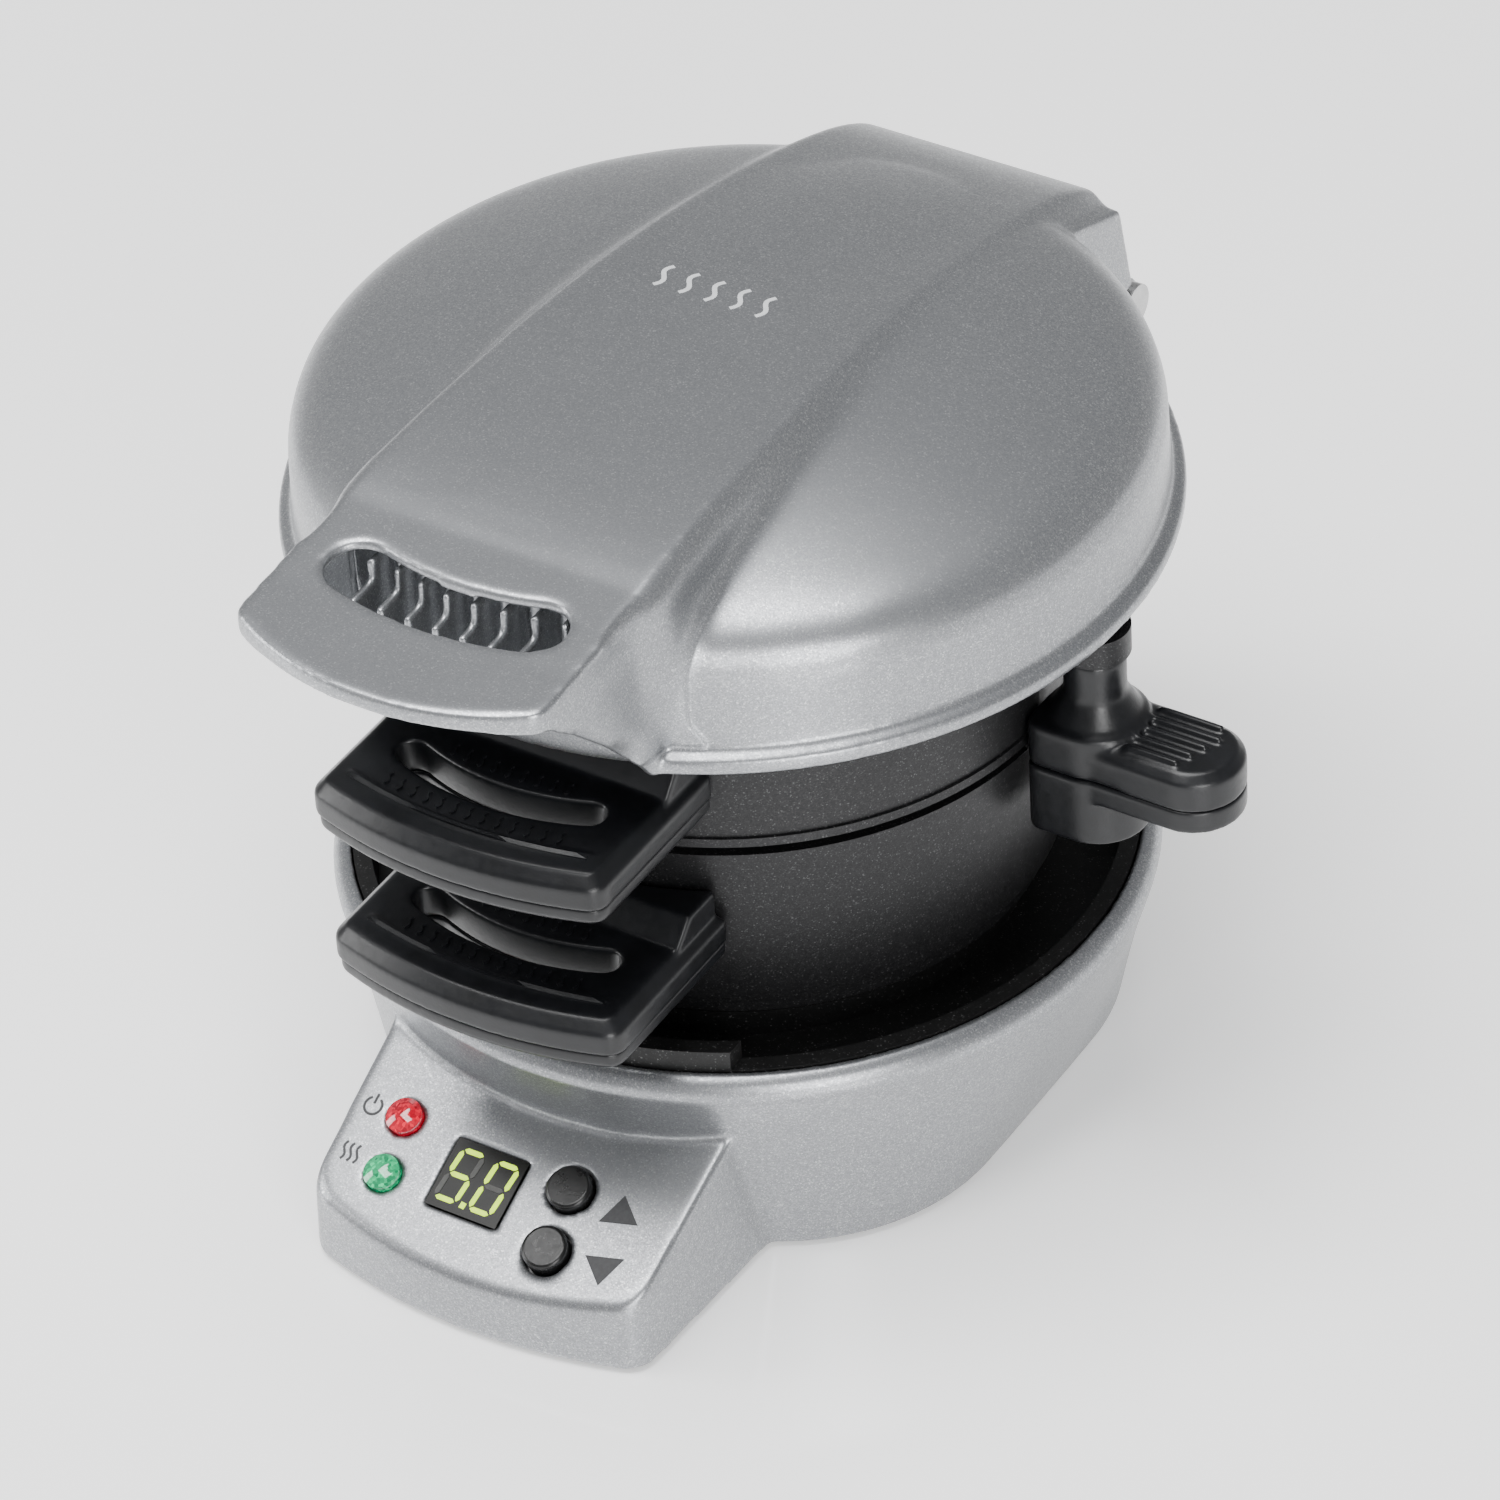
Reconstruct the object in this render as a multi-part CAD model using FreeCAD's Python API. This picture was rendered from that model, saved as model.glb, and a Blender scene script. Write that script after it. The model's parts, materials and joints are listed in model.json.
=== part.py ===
import FreeCAD, Part
import math
import os

# Breakfast sandwich maker, in millimetres. +Z up, front at -Y, right at +X.
# The origin is on the table, under the centre of the round base tub.

V = FreeCAD.Vector
UP = V(0, 0, 1)

# ---------------------------------------------------------------- driving sizes
WALL = 2.4                 # moulded shells
CLEAR = 0.3                # gap between curved faces that must not touch
PIN_CLEAR = 0.06           # running clearance of a pin in its hole
LEAF_GAP = 0.4             # gap between one leaf and the next when all are down
FOOT_STAND = 0.8           # the feet stand this far below the housing
SCREW_R = 1.5
SCREW_HEAD_R = 2.6
BOSS_R = 4.0

# rings: the radius is the outside of the lower ring at its top
RING_R = 61.1
RING_TAPER = 3.8           # the lower ring is this much narrower at its foot
RING_WALL = 3.2
BEAD_T = 0.6               # the bead at the upper ring's foot stands out this much
LOWER_RING_H = 35.5
UPPER_RING_H = 26.5
PLATE_T = 1.6

# base tub
TUB_TOP_Z = 45.8
WELL_GAP = 10.8            # from the lower ring to the silver rim's inner edge
RING_LIFT = 2.8            # the lower ring's foot is this far above the rim
WELL_DEPTH = 8.8

# control nose
NOSE_HALF = 35.2           # half width at the bottom
NOSE_DRAFT = 0.04          # the sides lean in by this much per unit of height
NOSE_SPREAD = 0.05         # each side spreads by this much per unit of length towards the tub
NOSE_BOW = 6.0             # the front bows forward by this much
NOSE_CORNER_R = 6.0
PANEL_TILT = 26.0          # degrees above the table
PANEL_LENGTH = 24.5        # slope length from the front edge to the tub
PANEL_FRONT_Z = 15.4

# lid
LID_OVERHANG = 18.9        # from the lower ring to the lid flange's edge
LID_GAP = 3.3              # from the upper ring's top to the flange's underside
FLANGE_T = 3.2
DOME_H = 38.7              # from the flange's underside to the top of the dome
BAND_HALF_FRONT = 28.8     # half width of the raised band at the handle
BAND_HALF_REAR = 23.9
LID_HANDLE_HALF = 30.5
LID_HANDLE_REACH = 34.4    # from the flange's front to the handle's tip
LID_RIB_COUNT = 8
LID_RIB_T = 1.6

# ring handles
HANDLE_HALF = 29.6
HANDLE_REACH = 35.6        # from the ring to the handle's tip
HANDLE_T = 10.5
HANDLE_BOW = 5.1
HANDLE_SLOT_WIDTH = 6.0
LOWER_HANDLE_SHIFT = 1.6   # the lower handle sits this much further back
TANG_T = 2.6

# swing pivot and plate handle
PIVOT_PIN_R = 2.0
HUB_R = 9.6
HUB_GAP = 0.5              # between the hub and the upper ring's bead
GRIP_LENGTH = 28.4         # from the pivot to the lever's end
GRIP_SHIFT = 0.3           # the lever lies this far behind the pivot
GRIP_RISE = 7.5            # lever's top face above the cooking plate's underside
GRIP_DROP = 4.7            # lever's bottom face below the cooking plate's underside
HUB_DROP = 14.1
COLUMN_R = 5.6
COLUMN_FLARE = 3.0          # the column's foot spreads by this much onto the hub

# rear hinge, one pin for all three leaves
HINGE_REACH = 12.0         # from the flange's rear edge to the pin
HINGE_DROP = 4.0           # the pin is this far below the upper ring's top
HINGE_PIN_R = 2.5
KNUCKLE_R = 4.5
LANE_GAP = 0.6
LANE_W = 5.4
LOWER_LANE_HALF = 8.8

# controls
LENS_R = 3.4
BUTTON_R = 4.2
BUTTON_TRAVEL = 1.2
BUTTON_STAND = 1.9         # height of a button above the panel
BOARD_T = 1.6

# ---------------------------------------------------------------- sizes that follow
# heights, from the tub up
FLOOR_Z = TUB_TOP_Z - WELL_DEPTH
LOWER_RING_Z0 = TUB_TOP_Z + RING_LIFT
LOWER_RING_Z1 = LOWER_RING_Z0 + LOWER_RING_H
PLATE_Z = LOWER_RING_Z1 + LEAF_GAP
UPPER_RING_Z0 = PLATE_Z + PLATE_T + LEAF_GAP
UPPER_RING_Z1 = UPPER_RING_Z0 + UPPER_RING_H
FLANGE_Z0 = UPPER_RING_Z1 + LID_GAP
FLANGE_Z1 = FLANGE_Z0 + FLANGE_T
DOME_TOP_Z = FLANGE_Z0 + DOME_H
HINGE_Z = UPPER_RING_Z1 - HINGE_DROP

# the rings, the lid and the plate share this centre line
STACK_Y = 1.8
LOWER_RING_R0 = RING_R - RING_TAPER
UPPER_RING_R0 = RING_R + 0.2
UPPER_RING_R1 = RING_R + 1.5
PLATE_R = LOWER_RING_R0 - CLEAR
HEATER_R = LOWER_RING_R0 - 2.3
HEATER_T = 6.0
LOWER_HEATER_TOP = LOWER_RING_Z0 - LEAF_GAP
LOWER_HEATER_BACK = LOWER_HEATER_TOP - HEATER_T
UPPER_HEATER_FACE = UPPER_RING_Z1 - 6.0
UPPER_HEATER_BACK = UPPER_HEATER_FACE + HEATER_T
FLANGE_R = RING_R + LID_OVERHANG
DOME_R = FLANGE_R - 3.0
LID_Y = STACK_Y + 0.2
HINGE_Y = LID_Y + FLANGE_R + HINGE_REACH

# tub: a rounded square at the table that grows into a circle at the waist
RIM_R = RING_R + WELL_GAP
SHOULDER_R = RIM_R + 3.8
SHOULDER_Z = TUB_TOP_Z - 4.3
WAIST_R = RIM_R + 2.2
WAIST_Z = TUB_TOP_Z - 9.8
FOOT_HALF = RIM_R - 11.4
FOOT_CORNER_R = FOOT_HALF * 0.68

HOUSING_Z0 = FOOT_STAND
COVER_Z0 = HOUSING_Z0 + 1.6
COVER_T = 2.0
COVER_Z1 = COVER_Z0 + COVER_T
PANEL_COS = math.cos(math.radians(PANEL_TILT))
PANEL_SIN = math.sin(math.radians(PANEL_TILT))
PANEL_FRONT_Y = -(RIM_R + 3.1 + PANEL_LENGTH * PANEL_COS)
NOSE_APEX_Y = PANEL_FRONT_Y - 5.0
NOSE_CORNER_Y = NOSE_APEX_Y + NOSE_BOW
NOSE_TOP_Z = TUB_TOP_Z - 1.8
BOARD_DEPTH = PANEL_FRONT_Z * 0.585       # control board's face under the panel


def on_face(across, along):
    """A place on the panel as (x, distance up the slope), from shares of its size."""
    return (across * NOSE_HALF, along * PANEL_LENGTH)


POWER_AT = on_face(-0.67, 0.776)
PREHEAT_AT = on_face(-0.631, 0.322)
DISPLAY_AT = on_face(-0.131, 0.506)
UP_AT = on_face(0.352, 0.702)
DOWN_AT = on_face(0.389, 0.22)
DISPLAY_W = NOSE_HALF * 0.42
DISPLAY_H = PANEL_LENGTH * 0.555
BOARD_AT = on_face(-0.114, 0.592)
BOARD_W = NOSE_HALF * 1.42
BOARD_L = PANEL_LENGTH * 1.02
BOARD_POSTS = [on_face(-0.756, 0.539), on_face(0.153, 0.97)]
BOARD_POST_R = 2.1
LENSES = (("power_lens", POWER_AT), ("preheat_lens", PREHEAT_AT))
BUTTONS = (("up_button", UP_AT), ("down_button", DOWN_AT))
LENS_FOOT = WALL + 1.6     # depth of a lens's lower face under the panel
BUTTON_FOOT = WALL + CLEAR + 0.9
SWITCH_TOP = BUTTON_FOOT + BUTTON_TRAVEL + CLEAR

# under the tub
SCREW_SPOTS = [(sx * FOOT_HALF * 0.752, sy * FOOT_HALF * 0.678) for sx in (-1, 1) for sy in (-1, 1)]
FOOT_REAR = (FOOT_HALF * 0.463, FOOT_HALF * 0.81)
FOOT_FRONT = (NOSE_HALF * 0.71, NOSE_APEX_Y + 16.0)
FOOT_SPOTS = [(side * x, y) for x, y in (FOOT_REAR, FOOT_FRONT) for side in (1, -1)]
PEG_SPOTS = [(-22.0, -36.0), (22.0, -36.0), (-22.0, 2.0), (22.0, 2.0)]
POWER_BOARD_Z = COVER_Z1 + 4.6
LINER_FLOOR_T = 1.4
LINER_FOOT_Z = FLOOR_Z - LINER_FLOOR_T
SHIELD_R = HEATER_R - 4.4 - STACK_Y - CLEAR
SHIELD_DEPTH = 9.0
BAY_H = LOWER_HEATER_BACK - SHIELD_DEPTH - POWER_BOARD_Z - BOARD_T   # room over the power board

# hinge lanes, outwards from the middle: lower ring, upper ring, lid, tower
UPPER_LANE = (LOWER_LANE_HALF + LANE_GAP, LOWER_LANE_HALF + LANE_GAP + LANE_W)
LID_LANE = (UPPER_LANE[1] + LANE_GAP, UPPER_LANE[1] + LANE_GAP + LANE_W)
EAR_LANE = (LID_LANE[1] + LANE_GAP, LID_LANE[1] + LANE_GAP + LANE_W + 0.6)
TOWER_FRONT_Y = HINGE_Y - 13.0
LOWER_ARM_Z0 = LOWER_RING_Z0 + 13.4
LOWER_ARM_Z1 = LOWER_ARM_Z0 + 10.0
TOWER_WEB_TOP = LOWER_ARM_Z0 - 5.0
TOWER_WEB_T = 3.0
TOWER_SCREW_X = (EAR_LANE[0] + EAR_LANE[1]) / 2
TOWER_SCREW_Z = WAIST_Z - 12.0
TOWER_SCREW_SEAT_Y = FOOT_HALF + 1.0   # flat seats inside the tub's rear wall
SEAT_R = SCREW_HEAD_R + 0.4
GLAND_Z = WAIST_Z - 14.0
GLAND_R = 5.0
GLAND_BORE_R = 3.2

# handles and pivot
HANDLE_PARTING = HANDLE_T * 0.657      # depth of the parting line under the top face
UPPER_HANDLE_TOP = UPPER_RING_Z1 - 7.3
LOWER_HANDLE_TOP = LOWER_RING_Z1 - 11.7
RING_FRONT_Y = STACK_Y - RING_R
HANDLE_APEX_Y = RING_FRONT_Y - HANDLE_REACH
HANDLE_CORNER_Y = HANDLE_APEX_Y + HANDLE_BOW
HANDLE_REAR_Y = RING_FRONT_Y + 15.3
HANDLE_SLOT_HALF = HANDLE_HALF - 8.6
HANDLE_SLOT_Y = HANDLE_APEX_Y + HANDLE_REACH * 0.567
TANG_HALF = HANDLE_HALF - 7.6
TANG_FRONT_Y = RING_FRONT_Y - HANDLE_REACH * 0.287
HANDLE_SCREW_X = HANDLE_HALF * 0.507
HANDLE_SCREW_Y = RING_FRONT_Y - HANDLE_REACH * 0.183
PIVOT_X = UPPER_RING_R0 + BEAD_T + HUB_GAP + HUB_R
PIVOT_Y = STACK_Y + 1.9
GRIP_Y = PIVOT_Y + GRIP_SHIFT
GRIP_HALF = HUB_R - GRIP_SHIFT
GRIP_TOP = PLATE_Z + GRIP_RISE
GRIP_BOTTOM = PLATE_Z - GRIP_DROP
GRIP_END_X = PIVOT_X + GRIP_LENGTH
HUB_BOTTOM = PLATE_Z - HUB_DROP
LUG_Z0 = UPPER_RING_Z1 - 6.0
LUG_Z1 = UPPER_RING_Z1 - CLEAR * 2
COLUMN_TOP = LUG_Z0 - LEAF_GAP

# lid
LID_FRONT_Y = LID_Y - FLANGE_R
LID_RISE = DOME_TOP_Z - FLANGE_Z1
LID_HANDLE_APEX_Y = LID_FRONT_Y - LID_HANDLE_REACH
LID_HANDLE_CORNER_Y = LID_HANDLE_APEX_Y + 8.9
LID_SLOT_HALF = LID_HANDLE_HALF - 7.2
LID_SLOT_WIDTH = LID_HANDLE_REACH * 0.334
LID_SLOT_Y = LID_FRONT_Y - LID_HANDLE_REACH * 0.25
RIB_FRONT_Y = LID_SLOT_Y + 0.4
LID_RIB_PITCH = LID_HANDLE_HALF * 0.18
REAR_HALF = EAR_LANE[1] + 2.6          # half width of the hinge cover
SKIRT_Z = HINGE_Z + KNUCKLE_R + CLEAR
REAR_FRONT_Y = HINGE_Y - 32.0
LINER_Z0 = UPPER_RING_Z1 + 1.6
LINER_Z1 = LINER_Z0 + 1.4
LINER_R = DOME_R - 4.4
LID_SCREW_R = (HEATER_R + LINER_R) / 2 + 1.2
LID_SCREW_ANGLES = (-33.7, 42.5, 137.5, 213.7)
ARM_TOP_Z = FLANGE_Z0 + 8.7
ARM_PLATE_T = 3.0
ARM_SCREW_X = 12.0
ARM_SCREW_Y = HINGE_Y - 19.0


# ---------------------------------------------------------------- shape helpers
def box(x0, x1, y0, y1, z0, z1):
    return Part.makeBox(x1 - x0, y1 - y0, z1 - z0, V(x0, y0, z0))


def rod(r, z0, z1, x=0.0, y=0.0):
    return Part.makeCylinder(r, z1 - z0, V(x, y, z0))


def xrod(r, x0, x1, y, z):
    return Part.makeCylinder(r, x1 - x0, V(x0, y, z), V(1, 0, 0))


def yrod(r, y0, y1, x, z):
    return Part.makeCylinder(r, y1 - y0, V(x, y0, z), V(0, 1, 0))


def tube(r_out, r_in, z0, z1, x=0.0, y=0.0):
    return rod(r_out, z0, z1, x, y).cut(rod(r_in, z0 - 1, z1 + 1, x, y))


def closed_wire(points):
    return Part.makePolygon(points + [points[0]])


def turned(profile, y=0.0):
    """A solid of revolution about the vertical line at (0, y); profile holds (r, z) corners."""
    wire = closed_wire([V(r, 0, z) for r, z in profile])
    solid = Part.Face(wire).revolve(V(0, 0, 0), UP, 360)
    solid.translate(V(0, y, 0))
    return solid


def side_prism(profile, x0, x1):
    """A solid with a (y, z) side profile, from x0 to x1."""
    wire = closed_wire([V(x0, y, z) for y, z in profile])
    return Part.Face(wire).extrude(V(x1 - x0, 0, 0))


def fuse_all(shapes):
    whole = shapes[0]
    for shape in shapes[1:]:
        whole = whole.fuse(shape)
    return whole.removeSplitter()


def cut_all(shape, tools):
    for tool in tools:
        shape = shape.cut(tool)
    return shape


def mirrored_pair(shape):
    return [shape, shape.mirror(V(0, 0, 0), V(1, 0, 0))]


def bowed_outline(half, corner_y, apex_y, rear_y, z, spread=0.0):
    """A plan outline with straight sides that may spread to the rear, and a bowed front edge."""
    rear_half = half + (rear_y - corner_y) * spread
    left, right = V(-half, corner_y, z), V(half, corner_y, z)
    rear_left, rear_right = V(-rear_half, rear_y, z), V(rear_half, rear_y, z)
    edges = [
        Part.Arc(left, V(0, apex_y, z), right).toShape(),
        Part.LineSegment(right, rear_right).toShape(),
        Part.LineSegment(rear_right, rear_left).toShape(),
        Part.LineSegment(rear_left, left).toShape(),
    ]
    return Part.Wire(edges)


def bowed_prism(half, corner_y, apex_y, rear_y, z0, z1):
    outline = bowed_outline(half, corner_y, apex_y, rear_y, z0)
    return Part.Face(outline).extrude(V(0, 0, z1 - z0))


def bowed_slot(half, y, bow, width, z0, z1):
    """A slot with round ends at y; its middle bows forward by bow."""
    r = width / 2
    chord = half - r
    radius = (chord * chord + bow * bow) / (2 * bow)
    centre_y = y - bow + radius
    angle = math.degrees(math.asin(chord / radius))
    height = z1 - z0
    outer = Part.makeCylinder(radius + r, height, V(0, 0, z0), UP, 2 * angle)
    inner = Part.makeCylinder(radius - r, height, V(0, 0, z0), UP, 360)
    band = outer.cut(inner)
    band.rotate(V(0, 0, 0), UP, -90 - angle)
    band.translate(V(0, centre_y, 0))
    ends = [rod(r, z0, z1, side * chord, y) for side in (-1, 1)]
    return fuse_all([band] + ends)


def screw(x, y, z_seat, length, head_r=SCREW_HEAD_R, shank_r=SCREW_R):
    """A pan-head screw with its head below the seat and its shank above it."""
    head_t = head_r * 0.6
    whole = rod(head_r, z_seat - head_t, z_seat, x, y).fuse(rod(shank_r, z_seat - 0.2, z_seat + length, x, y))
    half = head_r * 0.6
    drive = box(x - half, x + half, y - 0.4, y + 0.4, z_seat - head_t - 1, z_seat - head_t / 2)
    return whole.cut(drive)


def upright_edges(shape, x_min, y_test):
    """Straight upright edges at |x| beyond x_min whose y passes the test."""
    found = []
    for edge in shape.Edges:
        span = edge.BoundBox
        upright = span.XLength + span.YLength < 0.01 and span.ZLength > 0.5
        if upright and abs(span.Center.x) > x_min and y_test(span.Center.y):
            found.append(edge)
    return found


def level_edges(shape, z, y_test):
    """Edges that lie in the plane z and pass the test on their middle's y."""
    found = []
    for edge in shape.Edges:
        span = edge.BoundBox
        level = span.ZLength < 0.01 and abs(span.ZMin - z) < 0.01
        if level and y_test(span.Center.y):
            found.append(edge)
    return found


def on_circle(r, degrees, y=0.0):
    a = math.radians(degrees)
    return (r * math.cos(a), y + r * math.sin(a))


LID_SCREW_SPOTS = [on_circle(LID_SCREW_R, angle, STACK_Y) for angle in LID_SCREW_ANGLES]
ARM_SCREW_SPOTS = [(side * ARM_SCREW_X, ARM_SCREW_Y) for side in (-1, 1)]
NODES = {}


def add(name, shape):
    NODES[name] = shape


# ---------------------------------------------------------------- base tub and nose
def rounded_square(half, corner_r, z):
    """Four straight sides and four corner arcs, all as separate edges, from the -Y side on."""
    edges = []
    flat = half - corner_r
    lift = V(0, 0, z)
    for k in range(4):
        turn = math.radians(90 * k)
        ahead = V(math.cos(turn), math.sin(turn), 0)
        out = V(math.sin(turn), -math.cos(turn), 0)
        corner = out * flat + ahead * flat
        a = out * half - ahead * flat + lift
        b = out * half + ahead * flat + lift
        c = corner + ahead * corner_r + lift
        mid = corner + (out + ahead) * (corner_r / math.sqrt(2)) + lift
        edges.append(Part.LineSegment(a, b).toShape())
        edges.append(Part.Arc(b, mid, c).toShape())
    return Part.Wire(edges)


def split_circle(r, z, side_angle):
    """A circle in eight arcs that pair with the edges of a rounded square."""
    edges = []
    for k in range(4):
        middle = 90 * k - 90
        stops = (middle - side_angle, middle + side_angle, middle + 90 - side_angle)
        for a0, a1 in zip(stops, stops[1:]):
            arc = [V(*on_circle(r, a), z) for a in (a0, (a0 + a1) / 2, a1)]
            edges.append(Part.Arc(*arc).toShape())
    return Part.Wire(edges)


def tub(inset, z_low, z_top):
    """The tub's outer form, or its hollow when inset is the wall."""
    low = rounded_square(FOOT_HALF - inset, FOOT_CORNER_R - inset, z_low)
    side_angle = math.degrees(math.atan((FOOT_HALF - FOOT_CORNER_R) / FOOT_HALF))
    waist = split_circle(WAIST_R - inset, WAIST_Z, side_angle)
    lower = Part.makeLoft([low, waist], True, True)
    upper = turned([
        (0, WAIST_Z),
        (WAIST_R - inset, WAIST_Z),
        (SHOULDER_R - inset, SHOULDER_Z),
        (SHOULDER_R - inset - 0.3, SHOULDER_Z + 1.6),
        (SHOULDER_R - inset - 1.2, SHOULDER_Z + 3.0),
        (RIM_R - inset + 1.2, z_top - 0.2),
        (RIM_R - inset + 0.5, z_top),
        (0, z_top),
    ])
    return lower.fuse(upper)


def panel_z(y):
    """Height of the panel's face at y."""
    return PANEL_FRONT_Z + PANEL_SIN / PANEL_COS * (y - PANEL_FRONT_Y)


def nose_section(inset, z):
    half = NOSE_HALF - inset - NOSE_DRAFT * z
    corner_y, apex_y, rear_y = NOSE_CORNER_Y + inset, NOSE_APEX_Y + inset, NOSE_APEX_Y + 72.0
    return bowed_outline(half, corner_y, apex_y, rear_y, z, NOSE_SPREAD)


def nose(inset, z_low, panel_drop):
    """The control nose, closed above by the sloping panel."""
    block = Part.makeLoft([nose_section(inset, z_low), nose_section(inset, NOSE_TOP_Z)], True, True)
    front = [
        edge for edge in block.Edges
        if edge.BoundBox.ZLength > 20 and edge.BoundBox.YMax < NOSE_CORNER_Y + inset + 1
    ]
    block = block.makeFillet(NOSE_CORNER_R - inset, front)
    front_y, rear_y, over_z = NOSE_APEX_Y - 28.0, NOSE_APEX_Y + 82.0, TUB_TOP_Z + 44.0
    above = side_prism([
        (front_y, panel_z(front_y) - panel_drop),
        (rear_y, panel_z(rear_y) - panel_drop),
        (rear_y, over_z),
        (front_y, over_z),
    ], -NOSE_HALF * 2, NOSE_HALF * 2)
    return block.cut(above)


def on_panel(at, depth=0.0):
    """A point on the panel's face, or under it; at is (x, distance up the slope)."""
    x, up = at
    y = PANEL_FRONT_Y + up * PANEL_COS + depth * PANEL_SIN
    z = PANEL_FRONT_Z + up * PANEL_SIN - depth * PANEL_COS
    return V(x, y, z)


def panel_rod(r, at, low, high):
    """A cylinder square to the panel, between two heights over its face."""
    return Part.makeCylinder(r, high - low, on_panel(at, -low), V(0, -PANEL_SIN, PANEL_COS))


def panel_box(at, width, length, low, high):
    block = Part.makeBox(width, length, high - low, V(-width / 2, -length / 2, low))
    block.rotate(V(0, 0, 0), V(1, 0, 0), PANEL_TILT)
    block.translate(on_panel(at))
    return block


def base_housing():
    outer = fuse_all([tub(0, HOUSING_Z0, TUB_TOP_Z), nose(0, HOUSING_Z0, 0)])
    hollow = tub(WALL, HOUSING_Z0 - 1, TUB_TOP_Z + 5).fuse(nose(WALL, HOUSING_Z0 - 1, WALL / PANEL_COS))
    shell = outer.cut(hollow).cut(rod(RIM_R, LINER_FOOT_Z, TUB_TOP_Z + 10))
    boss_top = COVER_Z1 + 18.0
    inside = [tube(RIM_R + 6, RIM_R - 4.0, LINER_FOOT_Z - 2.4, LINER_FOOT_Z)]
    for x, y in SCREW_SPOTS:
        rib = box(0, 24, -1.2, 1.2, COVER_Z1, boss_top)
        rib.rotate(V(0, 0, 0), UP, math.degrees(math.atan2(y, x)))
        inside.append(rod(BOSS_R, COVER_Z1, boss_top, x, y).fuse(rib.translated(V(x, y, 0))))
    inside += [panel_rod(BOARD_POST_R, at, -BOARD_DEPTH, -WALL + 0.5) for at in BOARD_POSTS]
    inside += [
        yrod(SEAT_R + 1.2, TOWER_SCREW_SEAT_Y, TOWER_SCREW_SEAT_Y + 12, x, TOWER_SCREW_Z)
        for x in (-TOWER_SCREW_X, TOWER_SCREW_X)
    ]
    shell = fuse_all([shell] + [piece.common(hollow) for piece in inside])
    holes = [rod(SCREW_R + PIN_CLEAR, HOUSING_Z0, boss_top - 4, x, y) for x, y in SCREW_SPOTS]
    holes += [panel_rod(LENS_R + 0.1, at, -8, 8) for _, at in LENSES]
    holes += [panel_rod(BUTTON_R + CLEAR, at, -8, 8) for _, at in BUTTONS]
    holes.append(panel_box(DISPLAY_AT, DISPLAY_W + 0.2, DISPLAY_H + 0.2, -8, 8))
    holes += [panel_rod(0.9, at, -BOARD_DEPTH - 1, -WALL - 0.6) for at in BOARD_POSTS]
    holes.append(yrod(GLAND_R, STACK_Y + 40, STACK_Y + 82, 0, GLAND_Z))
    holes += [
        yrod(SCREW_R + PIN_CLEAR, TOWER_SCREW_SEAT_Y - 10, TOWER_SCREW_SEAT_Y + 22, x, TOWER_SCREW_Z)
        for x in (-TOWER_SCREW_X, TOWER_SCREW_X)
    ]
    return cut_all(shell, holes)


def well_liner():
    """The dark well: a floor with a collar for the heater, a rim lip, and a raised stop in front."""
    lip_r = RIM_R - 0.1
    lip_t = 3.2
    collar_r = HEATER_R - 3.0
    collar_t = 1.4
    profile = [
        (collar_r - collar_t, LINER_FOOT_Z),
        (lip_r, LINER_FOOT_Z),
        (lip_r, TUB_TOP_Z),
        (lip_r - lip_t, TUB_TOP_Z),
        (lip_r - lip_t - 1.0, FLOOR_Z),
        (collar_r, FLOOR_Z),
        (collar_r, LOWER_HEATER_BACK),
        (collar_r - collar_t, LOWER_HEATER_BACK),
    ]
    stop_half = NOSE_HALF
    stop_rise = 4.0
    stop = tube(lip_r, lip_r - lip_t, TUB_TOP_Z - 1, TUB_TOP_Z + stop_rise)
    stop = stop.common(box(-stop_half, stop_half, -RIM_R - 9, -RIM_R / 2, 0, TUB_TOP_Z + 9))
    return fuse_all([turned(profile), stop])


def heater_disc(z_face, up):
    """A cast disc whose working face is at z_face, with a shallow dish."""
    sign = 1 if up else -1
    back = z_face - sign * HEATER_T
    dish = 0.8
    rim = 6.0
    return turned([
        (0, back),
        (HEATER_R - 1.5, back),
        (HEATER_R, back + sign * 1.5),
        (HEATER_R, z_face - sign * 1.0),
        (HEATER_R - 1.0, z_face),
        (HEATER_R - rim, z_face),
        (HEATER_R - rim - 2.5, z_face - sign * dish),
        (0, z_face - sign * dish),
    ], STACK_Y)


def sheathed_element(z_contact, away):
    """An open ring of round tube against a heater's back, with two end pins; away is its side."""
    tube_r = 3.3
    loop_r = HEATER_R - 19.0
    sweep = 300.0
    z = z_contact + away * tube_r
    circle = Part.makeCircle(tube_r, V(loop_r, 0, z), V(0, 1, 0))
    pieces = [Part.Face(Part.Wire(circle)).revolve(V(0, 0, 0), UP, sweep)]
    for turn, sense in ((0.0, -1), (sweep, 1)):
        a = math.radians(turn)
        start = V(*on_circle(loop_r, turn), z)
        pieces.append(Part.makeCylinder(1.2, 5.0, start, V(-math.sin(a), math.cos(a), 0) * sense))
    whole = fuse_all(pieces)
    whole.rotate(V(0, 0, 0), UP, 90 + (360 - sweep) / 2)
    whole.translate(V(0, STACK_Y, 0))
    return whole


def thermostat(z_contact, away):
    low, high = sorted((z_contact, z_contact + away * 5.0))
    tabs = box(-10.5, 10.5, STACK_Y - 2.5, STACK_Y + 2.5, low + 2.0, low + 2.8)
    return rod(8.0, low, high, 0, STACK_Y).fuse(tabs)


def thermal_fuse(z_contact, away):
    r = 2.0
    z = z_contact + away * r
    y = STACK_Y + 18
    return fuse_all([xrod(r, -6, 6, y, z), xrod(0.6, -14, 14, y, z)])


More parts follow.
